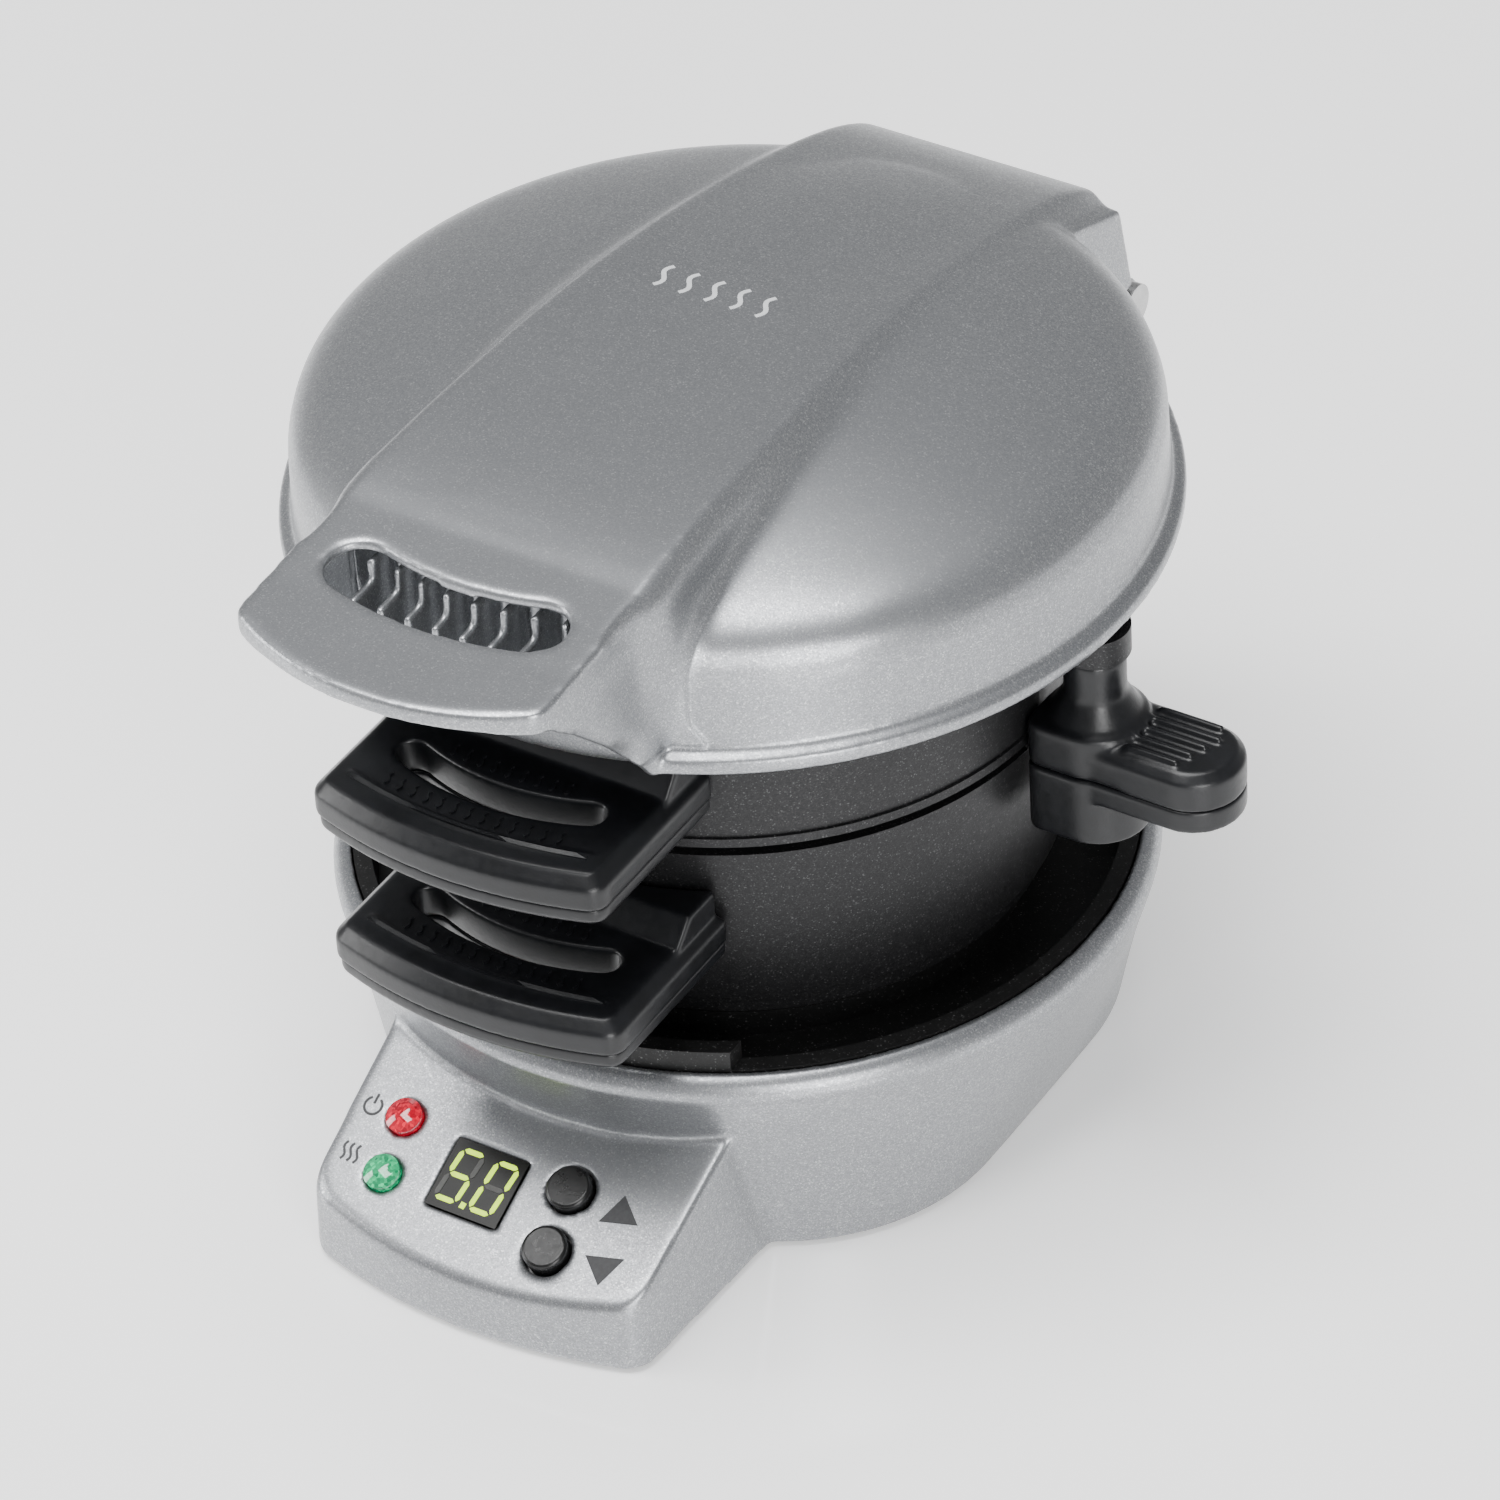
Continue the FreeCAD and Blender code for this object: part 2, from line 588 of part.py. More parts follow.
def build_base():
    add("base_housing", base_housing())
    add("well_liner", well_liner())
    back = LOWER_HEATER_BACK
    add("lower_heating_plate", heater_disc(LOWER_HEATER_TOP, True))
    add("lower_heating_element", sheathed_element(back, -1))
    add("lower_thermostat", thermostat(back, -1))
    add("lower_thermal_fuse", thermal_fuse(back, -1))
    shield_t = 0.8
    far = back - SHIELD_DEPTH
    add("lower_heat_shield", turned([
        (0, far), (SHIELD_R, far), (SHIELD_R, back), (SHIELD_R - shield_t, back),
        (SHIELD_R - shield_t, far + shield_t), (0, far + shield_t),
    ], STACK_Y))
    build_underside()
    build_controls()
    build_power_board()


def build_underside():
    inner = tub(WALL + CLEAR, COVER_Z0, TUB_TOP_Z).fuse(nose(WALL + CLEAR, COVER_Z0, WALL + CLEAR))
    cover = inner.common(box(-RIM_R * 2, RIM_R * 2, -RIM_R * 2, RIM_R * 2, COVER_Z0, COVER_Z1))
    pegs = [rod(2.6, COVER_Z0, POWER_BOARD_Z, x, y) for x, y in PEG_SPOTS]
    cover = fuse_all([cover] + pegs)
    stem_r = 2.4
    holes = [rod(stem_r + 0.05, 0, COVER_Z1 + 1, x, y) for x, y in FOOT_SPOTS]
    holes += [rod(SCREW_R + 0.15, 0, COVER_Z1 + 1, x, y) for x, y in SCREW_SPOTS]
    holes += [rod(0.9, COVER_Z1 - 0.8, POWER_BOARD_Z + 1, x, y) for x, y in PEG_SPOTS]
    vent_pitch = 7.0
    for k in (-2, -1, 0, 1, 2):
        x = k * vent_pitch
        holes.append(box(x - 1.2, x + 1.2, -22, 22, 0, COVER_Z1 + 1))
    add("bottom_cover", cut_all(cover, holes).removeSplitter())
    feet = []
    for x, y in FOOT_SPOTS:
        pad = rod(6.0, 0, COVER_Z0, x, y)
        pad = pad.makeChamfer(0.3, [edge for edge in pad.Edges if edge.BoundBox.ZMax < 0.01])
        feet.append(pad.fuse(rod(stem_r, COVER_Z0 - 0.2, COVER_Z1 + 1.6, x, y)))
    add("rubber_feet", Part.makeCompound(feet))
    screws = [screw(x, y, COVER_Z0, 12.0) for x, y in SCREW_SPOTS]
    add("base_screws", Part.makeCompound(screws))


def build_controls():
    lens_ball_r = 6.5
    for name, at in LENSES:
        ball = Part.makeSphere(lens_ball_r, on_panel(at, lens_ball_r - 2.0))
        body = panel_rod(LENS_R, at, -LENS_FOOT, 4.0)
        body = body.common(fuse_all([panel_rod(LENS_R + 1, at, -LENS_FOOT, 0.0), ball]))
        add(name, body.fuse(panel_rod(LENS_R + 0.8, at, -LENS_FOOT, -WALL)))
    leds = [panel_rod(1.5, at, -BOARD_DEPTH, -LENS_FOOT - CLEAR) for _, at in LENSES]
    add("indicator_leds", Part.makeCompound(leds))
    window_foot = 1.6
    add("display_window", panel_box(DISPLAY_AT, DISPLAY_W, DISPLAY_H, -window_foot, 0.2))
    add("display_module", panel_box(DISPLAY_AT, DISPLAY_W, DISPLAY_H, -BOARD_DEPTH, -window_foot))

    board_low = -BOARD_DEPTH - BOARD_T
    board = panel_box(BOARD_AT, BOARD_W, BOARD_L, board_low, -BOARD_DEPTH)
    holes = [panel_rod(1.0, at, board_low - 1, -BOARD_DEPTH + 1) for at in BOARD_POSTS]
    add("control_board", cut_all(board, holes))
    screws = []
    for at in BOARD_POSTS:
        head = panel_rod(1.7, at, board_low - 1.2, board_low)
        screws.append(head.fuse(panel_rod(0.85, at, board_low - 0.1, -WALL - 1.0)))
    add("control_board_screws", Part.makeCompound(screws))
    switches = []
    for name, at in BUTTONS:
        body_top = -(BOARD_DEPTH + SWITCH_TOP * 2) / 3
        switches.append(fuse_all([
            panel_box(at, 6.0, 6.0, -BOARD_DEPTH, body_top),
            panel_rod(1.5, at, body_top - 0.1, -SWITCH_TOP),
        ]))
        cap = panel_rod(BUTTON_R, at, -BUTTON_FOOT, BUTTON_STAND)
        crown = [edge for edge in cap.Edges if edge.Closed and edge.BoundBox.Center.z > on_panel(at).z]
        cap = cap.makeFillet(0.7, crown)
        add(name, cap.fuse(panel_rod(BUTTON_R + 1.1, at, -BUTTON_FOOT, -WALL - CLEAR)))
    add("tact_switches", Part.makeCompound(switches))


def build_power_board():
    z0, z1 = POWER_BOARD_Z, POWER_BOARD_Z + BOARD_T
    board = box(-26, 26, -40, 6, z0, z1)
    board = cut_all(board, [rod(1.0, z0 - 1, z1 + 1, x, y) for x, y in PEG_SPOTS])
    add("power_board", board)
    screws = []
    for x, y in PEG_SPOTS:
        screws.append(rod(1.7, z1, z1 + 1.2, x, y).fuse(rod(0.85, COVER_Z1, z1 + 0.1, x, y)))
    add("power_board_screws", Part.makeCompound(screws))
    add("relay", box(-17, -3, -32, -19, z1, z1 + BAY_H * 0.6))
    add("supply_capacitor", rod(5.0, z1, z1 + BAY_H * 0.72, 10.0, -26.0))
    buzzer_r = 6.0
    buzzer_z = z1 + 4.0
    port = tube(buzzer_r, 1.2, buzzer_z, buzzer_z + 4.0, 12.0, -8.0)
    add("buzzer", port.fuse(rod(buzzer_r, z1, buzzer_z + 0.4, 12.0, -8.0)))


# ---------------------------------------------------------------- hinge tower and pin
def ear(x0, x1):
    """One side of the tower: a plate up to the knuckle, and a foot that reaches the tub."""
    plate = side_prism([
        (TOWER_FRONT_Y, HOUSING_Z0), (HINGE_Y, HOUSING_Z0), (HINGE_Y, HINGE_Z),
        (HINGE_Y - KNUCKLE_R, HINGE_Z), (TOWER_FRONT_Y, HINGE_Z - 22),
    ], x0, x1)
    outside = x0 if x0 < 0 else x1
    rear = upright_edges(plate, abs(outside) - 0.1, lambda y: y > HINGE_Y - 1)
    plate = plate.makeFillet(4.0, rear)
    foot = side_prism([
        (TOWER_SCREW_SEAT_Y - 4, HOUSING_Z0), (TOWER_FRONT_Y + 1, HOUSING_Z0),
        (TOWER_FRONT_Y + 1, TUB_TOP_Z + 6.2), (SHOULDER_R - 5.7, TUB_TOP_Z - 5.8),
        (TOWER_SCREW_SEAT_Y - 4, WAIST_Z),
    ], x0, x1)
    return fuse_all([plate, foot, xrod(KNUCKLE_R, x0, x1, HINGE_Y, HINGE_Z)])


def build_tower():
    half = EAR_LANE[1]
    inner_x = EAR_LANE[0] + 1.0
    web = box(-inner_x, inner_x, HINGE_Y - TOWER_WEB_T, HINGE_Y, HOUSING_Z0, TOWER_WEB_TOP)
    cap = box(-inner_x, inner_x, TOWER_FRONT_Y, HINGE_Y, TOWER_WEB_TOP - TOWER_WEB_T, TOWER_WEB_TOP)
    front_low = TUB_TOP_Z - 5.8
    front = box(-inner_x, inner_x, TOWER_FRONT_Y, TOWER_FRONT_Y + TOWER_WEB_T, front_low, TOWER_WEB_TOP)
    tower = fuse_all([ear(EAR_LANE[0], half), ear(-half, -EAR_LANE[0]), web, cap, front])
    tower = tower.cut(tub(0, HOUSING_Z0 - 0.5, TUB_TOP_Z))
    holes = [xrod(HINGE_PIN_R + PIN_CLEAR, -half - 1, half + 1, HINGE_Y, HINGE_Z)]
    for x in (-TOWER_SCREW_X, TOWER_SCREW_X):
        holes.append(yrod(SCREW_R + PIN_CLEAR, TOWER_SCREW_SEAT_Y, TOWER_SCREW_SEAT_Y + 20, x, TOWER_SCREW_Z))
    holes.append(yrod(GLAND_R + 0.05, HINGE_Y - 10, HINGE_Y + 10, 0, GLAND_Z))
    louvre_pitch = 4.5
    for k in range(4):
        z = GLAND_Z + 14.0 + k * louvre_pitch
        holes.append(box(-14, 14, HINGE_Y - 10, HINGE_Y + 1, z, z + 1.8))
    add("hinge_tower", cut_all(tower, holes))
    screws = []
    for x in (-TOWER_SCREW_X, TOWER_SCREW_X):
        upright = screw(0, 0, 0, 18.0)
        upright.rotate(V(0, 0, 0), V(1, 0, 0), -90)
        screws.append(upright.translated(V(x, TOWER_SCREW_SEAT_Y, TOWER_SCREW_Z)))
    add("hinge_tower_screws", Part.makeCompound(screws))
    gland = fuse_all([
        yrod(GLAND_R, HINGE_Y - TOWER_WEB_T - 1.2, HINGE_Y + 0.1, 0, GLAND_Z),
        yrod(GLAND_R + 2.6, HINGE_Y, HINGE_Y + 1.8, 0, GLAND_Z),
        yrod(GLAND_R - 0.6, HINGE_Y + 1.7, HINGE_Y + 4.0, 0, GLAND_Z),
    ])
    add("cord_gland", gland.cut(yrod(GLAND_BORE_R, HINGE_Y - 10, HINGE_Y + 10, 0, GLAND_Z)))
    pin_end = half + 1.4
    pin = xrod(HINGE_PIN_R, -pin_end, pin_end, HINGE_Y, HINGE_Z)
    add("hinge_pin", pin)
    cap = xrod(KNUCKLE_R - 0.4, half + 0.1, pin_end + 1.4, HINGE_Y, HINGE_Z).cut(pin)
    add("hinge_pin_caps", Part.makeCompound(mirrored_pair(cap)))


# ---------------------------------------------------------------- rings
def ring_body(z0, z1, r0, r1):
    return turned([(r0 - RING_WALL, z0), (r0, z0), (r1, z1), (r1 - RING_WALL, z1)], STACK_Y)


def hinge_arm(x0, x1, profile):
    arm = fuse_all([side_prism(profile, x0, x1), xrod(KNUCKLE_R, x0, x1, HINGE_Y, HINGE_Z)])
    return arm.cut(xrod(HINGE_PIN_R + PIN_CLEAR, x0 - 1, x1 + 1, HINGE_Y, HINGE_Z))


def wall_radius(z, z0, z1, r0, r1):
    """Outer radius of a tapered ring at height z."""
    return r0 + (r1 - r0) * (z - z0) / (z1 - z0)


def ring_tang(z_mid, wall_r):
    """The flat tang that the two halves of a ring's handle clamp on."""
    z0, z1 = z_mid - TANG_T / 2, z_mid + TANG_T / 2
    tang = box(-TANG_HALF, TANG_HALF, TANG_FRONT_Y, HANDLE_REAR_Y, z0, z1)
    return tang.cut(rod(wall_r - RING_WALL / 2, z0 - 1, z1 + 1, 0, STACK_Y))


def ring_handle(prefix, top_z, shift, wall_r, rise):
    """Two moulded halves on a tang, with a bowed finger slot and a raised seat by the ring.
    Returns the holes that the handle's screws need in the tang."""
    corner_y, apex_y = HANDLE_CORNER_Y + shift, HANDLE_APEX_Y + shift
    bottom = top_z - HANDLE_T
    parting = top_z - HANDLE_PARTING
    seat_z = bottom + 1.6
    slot_y = HANDLE_SLOT_Y + shift * 0.6
    slot = bowed_slot(HANDLE_SLOT_HALF, slot_y, 3.5, HANDLE_SLOT_WIDTH, bottom - 1, top_z + 1)
    ring_gap = rod(wall_r + CLEAR + 0.2, bottom - 5, top_z + 20, 0, STACK_Y)
    tang_room = box(-TANG_HALF - 0.1, TANG_HALF + 0.1, TANG_FRONT_Y - 0.2, HANDLE_REAR_Y + 1,
                    parting - TANG_T / 2, parting + TANG_T / 2)
    spots = [(side * HANDLE_SCREW_X, HANDLE_SCREW_Y) for side in (-1, 1)]
    pilot = [rod(SCREW_R + PIN_CLEAR, parting - 12, parting + 4.0, x, y) for x, y in spots]
    head_room = [rod(SCREW_HEAD_R + CLEAR, bottom - 1, seat_z, x, y) for x, y in spots]

    def is_front(y):
        return y < HANDLE_REAR_Y - 4.0

    def is_corner(y):
        return y < HANDLE_SLOT_Y

    top = bowed_prism(HANDLE_HALF, corner_y, apex_y, HANDLE_REAR_Y, parting, top_z)
    top = top.makeFillet(4.0, upright_edges(top, 10, is_corner))
    top = top.makeChamfer(2.4, level_edges(top, top_z, is_front))
    seat = side_prism([
        (RING_FRONT_Y - 7.2, top_z - 0.5), (HANDLE_REAR_Y, top_z - 0.5), (HANDLE_REAR_Y, top_z + rise),
        (RING_FRONT_Y - 2.2, top_z + rise),
    ], -HANDLE_HALF + 1.5, HANDLE_HALF - 1.5)
    line = bowed_slot(HANDLE_HALF - 5.1, corner_y + 5.4, 3.9, 0.9, top_z - 0.2, top_z + 0.35)
    top = fuse_all([top, seat, line])
    low = bowed_prism(HANDLE_HALF - 0.5, corner_y + 0.5, apex_y + 0.5, HANDLE_REAR_Y, bottom, parting)
    low = low.makeFillet(3.6, upright_edges(low, 10, is_corner))
    low = low.makeChamfer(1.0, level_edges(low, bottom, is_front))
    add(prefix + "_handle_top", cut_all(top, [ring_gap, slot, tang_room] + pilot))
    add(prefix + "_handle_bottom", cut_all(low, [ring_gap, slot, tang_room] + pilot + head_room))
    heads = [screw(x, y, seat_z, parting + 3.8 - seat_z) for x, y in spots]
    add(prefix + "_handle_screws", Part.makeCompound(heads))
    return pilot


def build_lower_ring():
    sizes = (LOWER_RING_Z0, LOWER_RING_Z1, LOWER_RING_R0, RING_R)
    parting = LOWER_HANDLE_TOP - HANDLE_PARTING
    screw_holes = ring_handle("lower", LOWER_HANDLE_TOP, LOWER_HANDLE_SHIFT, RING_R, 4.6)
    root_y = LOWER_RING_R0 - 2.3
    arm = hinge_arm(-LOWER_LANE_HALF, LOWER_LANE_HALF, [
        (root_y, LOWER_ARM_Z0), (HINGE_Y - 4, LOWER_ARM_Z0), (HINGE_Y, LOWER_ARM_Z0 + 6.0),
        (HINGE_Y + 2.0, HINGE_Z), (HINGE_Y - KNUCKLE_R, HINGE_Z), (HINGE_Y - 7.0, LOWER_ARM_Z1),
        (root_y, LOWER_ARM_Z1),
    ])
    arm = arm.cut(rod(LOWER_RING_R0 - 1, LOWER_RING_Z0, LOWER_RING_Z1, 0, STACK_Y))
    tang = ring_tang(parting, wall_radius(parting, *sizes))
    add("lower_ring", cut_all(fuse_all([ring_body(*sizes), arm, tang]), screw_holes))


def build_upper_ring():
    sizes = (UPPER_RING_Z0, UPPER_RING_Z1, UPPER_RING_R0, UPPER_RING_R1)
    parting = UPPER_HANDLE_TOP - HANDLE_PARTING
    screw_holes = ring_handle("upper", UPPER_HANDLE_TOP, 0.0, UPPER_RING_R1, 5.6)
    bead_z = UPPER_RING_Z0 + 1.8
    bead = turned([
        (UPPER_RING_R0 - 1, UPPER_RING_Z0), (UPPER_RING_R0 + BEAD_T, UPPER_RING_Z0),
        (UPPER_RING_R0 + BEAD_T, bead_z), (UPPER_RING_R0 - 1, bead_z + 0.5),
    ], STACK_Y)
    root_y = UPPER_RING_R0 - 2.3
    arm = hinge_arm(UPPER_LANE[0], UPPER_LANE[1], [
        (root_y, UPPER_RING_Z1 - 15.0), (HINGE_Y - 12, UPPER_RING_Z1 - 10.0),
        (HINGE_Y - 2, HINGE_Z - KNUCKLE_R + 0.5), (HINGE_Y, HINGE_Z + KNUCKLE_R - 0.01),
        (root_y, UPPER_RING_Z1),
    ])
    inside = rod(UPPER_RING_R0 - 1, UPPER_RING_Z0, UPPER_RING_Z1 + 1, 0, STACK_Y)
    lug_half = 6.5
    lug = box(PIVOT_X - 22, PIVOT_X, PIVOT_Y - lug_half, PIVOT_Y + lug_half, LUG_Z0, LUG_Z1)
    lug = lug.fuse(rod(lug_half, LUG_Z0, LUG_Z1, PIVOT_X, PIVOT_Y))
    tang = ring_tang(parting, wall_radius(parting, *sizes))
    outside = [piece.cut(inside) for piece in mirrored_pair(arm) + [lug]]
    pin_top = LUG_Z1 - 1.5
    hole = rod(PIVOT_PIN_R, LUG_Z0 - 1, pin_top, PIVOT_X, PIVOT_Y)
    whole = fuse_all([ring_body(*sizes), bead, tang] + outside)
    add("upper_ring", cut_all(whole, screw_holes + [hole]))
    pin_low = HUB_BOTTOM - 2.2
    add("plate_pivot_pin", rod(PIVOT_PIN_R, pin_low, pin_top, PIVOT_X, PIVOT_Y))
    clip = tube(PIVOT_PIN_R * 2, PIVOT_PIN_R, pin_low + 0.4, HUB_BOTTOM - LEAF_GAP, PIVOT_X, PIVOT_Y)
    add("plate_pivot_clip", clip)


# ---------------------------------------------------------------- cooking plate
def grip(z0, z1):
    """The lever outline: parallel sides that run out from the hub to a round end."""
    centre_x = GRIP_END_X - GRIP_HALF
    bar = box(PIVOT_X, centre_x, GRIP_Y - GRIP_HALF, GRIP_Y + GRIP_HALF, z0, z1)
    return fuse_all([bar, rod(GRIP_HALF, z0, z1, centre_x, GRIP_Y)])


def plate_neck(margin):
    """The plate's neck and the collar round the pivot, or the room for them in the lever."""
    half = 5.5 + margin
    z0, z1 = PLATE_Z, PLATE_Z + PLATE_T
    neck = box(PLATE_R - 12, PIVOT_X + 14 + margin, PIVOT_Y - half, PIVOT_Y + half, z0, z1)
    return fuse_all([neck, rod(6.5 + margin, z0, z1, PIVOT_X, PIVOT_Y)])


def build_cooking_plate():
    disc = rod(PLATE_R, PLATE_Z, PLATE_Z + PLATE_T, 0, STACK_Y)
    groove_z = PLATE_Z + PLATE_T * 0.7
    groove = tube(PLATE_R - 3.0, PLATE_R - 4.2, groove_z, groove_z + 3, 0, STACK_Y)
    plate = fuse_all([disc.cut(groove), plate_neck(0)])
    bore = rod(PIVOT_PIN_R + PIN_CLEAR, 0, LUG_Z1, PIVOT_X, PIVOT_Y)
    spots = [(PIVOT_X + 12.0, GRIP_Y), (PIVOT_X + GRIP_LENGTH * 0.72, GRIP_Y)]
    pilots = [rod(SCREW_R + PIN_CLEAR, GRIP_BOTTOM - 1, GRIP_TOP - 2.5, x, y) for x, y in spots]
    add("cooking_plate", cut_all(plate, [bore, pilots[0]]))

    room = plate_neck(0.1)
    hub_top = GRIP_TOP + 1.6
    top = grip(PLATE_Z, GRIP_TOP)
    top = top.makeChamfer(1.8, level_edges(top, GRIP_TOP, lambda y: True))
    square = box(PIVOT_X - HUB_R, PIVOT_X, PIVOT_Y - HUB_R, PIVOT_Y, HUB_BOTTOM, hub_top)
    corner = upright_edges(square, PIVOT_X - 5 - HUB_R, lambda y: y < PIVOT_Y - 5)
    square = square.makeFillet(3.0, corner[:1])
    hub = fuse_all([rod(HUB_R, HUB_BOTTOM, hub_top, PIVOT_X, PIVOT_Y), square])
    above = box(0, GRIP_END_X * 2, -RIM_R, RIM_R, PLATE_Z, FLANGE_Z0)
    cone = Part.makeCone(COLUMN_R + COLUMN_FLARE, COLUMN_R, 5.0, V(PIVOT_X, PIVOT_Y, hub_top - 0.1))
    column = rod(COLUMN_R, GRIP_TOP, COLUMN_TOP, PIVOT_X, PIVOT_Y)
    ribs = []
    rib_pitch = GRIP_HALF * 0.32
    for k in range(5):
        y = GRIP_Y + (k - 2) * rib_pitch
        reach = GRIP_END_X - 5.4 - abs(k - 3) * 1.2
        ribs.append(box(PIVOT_X + 9.0, reach, y - 0.55, y + 0.55, GRIP_TOP - 0.2, GRIP_TOP + 1.1))
    top = fuse_all([top, hub.common(above), cone, column] + ribs)
    bottom = fuse_all([grip(GRIP_BOTTOM, PLATE_Z), hub.cut(above)])
    seat_z = GRIP_BOTTOM + 1.6
    head_room = [rod(SCREW_HEAD_R + CLEAR, GRIP_BOTTOM - 1, seat_z, x, y) for x, y in spots]
    add("plate_handle_top", cut_all(top, [room, bore] + pilots))
    add("plate_handle_bottom", cut_all(bottom, [room, bore] + pilots + head_room))
    screws = [screw(x, y, seat_z, GRIP_TOP - 2.7 - seat_z) for x, y in spots]
    add("plate_handle_screws", Part.makeCompound(screws))


# ---------------------------------------------------------------- lid
# the dome's crown: share of its radius, and drop below its top
CROWN = [(0.0, 0.0), (0.195, 0.5), (0.39, 2.0), (0.649, 5.6), (0.831, 9.6), (0.935, 13.2), (0.987, 17.4)]
DOME_SHOULDER_DROP = 21.0


def dome(inset):
    """The round dome; the crown is a smooth curve over a nearly upright wall."""
    crown = [V(share * DOME_R, 0, DOME_TOP_Z - drop - inset) for share, drop in CROWN]
    crown[-1] = crown[-1] - V(inset, 0, 0)
    curve = Part.BSplineCurve()
    curve.interpolate(crown)
    wall_top = V(DOME_R - inset, 0, DOME_TOP_Z - DOME_SHOULDER_DROP - inset)
    wall_foot = V(DOME_R + 0.4 - inset, 0, FLANGE_Z1 + 0.9)
    bottom = FLANGE_Z0 if inset == 0 else FLANGE_Z0 - 1
    corner = V(wall_foot.x, 0, bottom)
    centre = V(0, 0, bottom)
    edges = [
        curve.toShape(),
        Part.LineSegment(crown[-1], wall_top).toShape(),
        Part.LineSegment(wall_top, wall_foot).toShape(),
        Part.LineSegment(wall_foot, corner).toShape(),
        Part.LineSegment(corner, centre).toShape(),
        Part.LineSegment(centre, crown[0]).toShape(),
    ]
    solid = Part.Face(Part.Wire(edges)).revolve(V(0, 0, 0), UP, 360)
    solid.translate(V(0, LID_Y, 0))
    return solid


# side view of the raised band's top: share from front to rear, and height over the dome's top
BAND_TOP = [
    (0.0, -0.6), (0.099, 1.6), (0.259, 2.3), (0.444, 1.4), (0.617, -1.8), (0.778, -7.0), (0.907, -12.8),
    (1.0, -20.0),
]
BAND_FRONT_Y = LID_FRONT_Y + 6.0
BAND_REAR_Y = HINGE_Y - 4.0
BAND_SLOPE = 3.4


def band_half(y):
    share = (y - LID_HANDLE_CORNER_Y) / (BAND_REAR_Y - LID_HANDLE_CORNER_Y)
    return BAND_HALF_FRONT + (BAND_HALF_REAR - BAND_HALF_FRONT) * share


def raised_band(inset):
    """The broad rib that runs over the dome from the handle to the hinge, with sloping sides."""
    low_z = FLANGE_Z0 + 5.7
    sections = []
    for share, rise in BAND_TOP:
        y = BAND_FRONT_Y + share * (BAND_REAR_Y - BAND_FRONT_Y)
        half = band_half(y) - inset * 0.6
        foot = half + BAND_SLOPE
        crest = DOME_TOP_Z + rise - inset
        if share in (0.0, 1.0):
            y += inset * (1 - 2 * share)
        sections.append(closed_wire([
            V(-foot, y, low_z), V(foot, y, low_z), V(foot, y, crest - BAND_SLOPE), V(half, y, crest),
            V(-half, y, crest), V(-foot, y, crest - BAND_SLOPE),
        ]))
    return Part.makeLoft(sections, True, False)


def hinge_cover(inset):
    """The lid's squared rear, over the hinge; its skirt hangs a little below the flange."""
    drop = 1.0 if inset else 0.0
    skirt_y = LID_Y + FLANGE_R - 1.5 + inset
    return side_prism([
        (REAR_FRONT_Y + inset, FLANGE_Z0 - drop), (skirt_y, FLANGE_Z0 - drop),
        (skirt_y, SKIRT_Z - drop), (HINGE_Y - 0.6 - inset, SKIRT_Z - drop),
        (HINGE_Y - 4.7 - inset, DOME_TOP_Z - 22.1 - inset), (REAR_FRONT_Y + inset, DOME_TOP_Z - 12.6 - inset),
    ], -REAR_HALF + inset, REAR_HALF - inset)


def beside_flange(out, up):
    """A (y, z) point by the lid's front edge: shares of the handle's reach and of the lid's height."""
    return (LID_FRONT_Y - out * LID_HANDLE_REACH, FLANGE_Z1 + up * LID_RISE)


GRIP_UPPER = [beside_flange(*at) for at in ((-0.52, 1.011), (-0.174, 0.983), (0.465, 0.921), (1.03, 0.885))]
GRIP_UNDER = [
    beside_flange(*at)
    for at in ((1.03, 0.792), (0.669, 0.758), (0.465, 0.597), (0.224, 0.372), (0.058, 0.183), (-0.099, 0.0))
]


def lid_grip(inset):
    """The handle that runs out of the band, flares down to the flange and ends in a thumb lip."""
    foot_z = FLANGE_Z0 - (2 if inset else 0)
    under_drop = 12.0 if inset else 0.0
    profile = [(y, z - inset) for y, z in GRIP_UPPER] + [(y, z - under_drop) for y, z in GRIP_UNDER]
    profile += [(GRIP_UNDER[-1][0] + 2.1, foot_z), (GRIP_UPPER[0][0], foot_z)]
    block = side_prism(profile, -LID_HANDLE_HALF + inset, LID_HANDLE_HALF - inset)
    plan = bowed_prism(
        LID_HANDLE_HALF - inset, LID_HANDLE_CORNER_Y + inset, LID_HANDLE_APEX_Y + inset * 1.5,
        LID_FRONT_Y + 28, FLANGE_Z0 - 16, DOME_TOP_Z + 15)
    plan = plan.makeFillet(4.0, upright_edges(plan, 10, lambda y: y < LID_FRONT_Y))
    return block.common(plan)


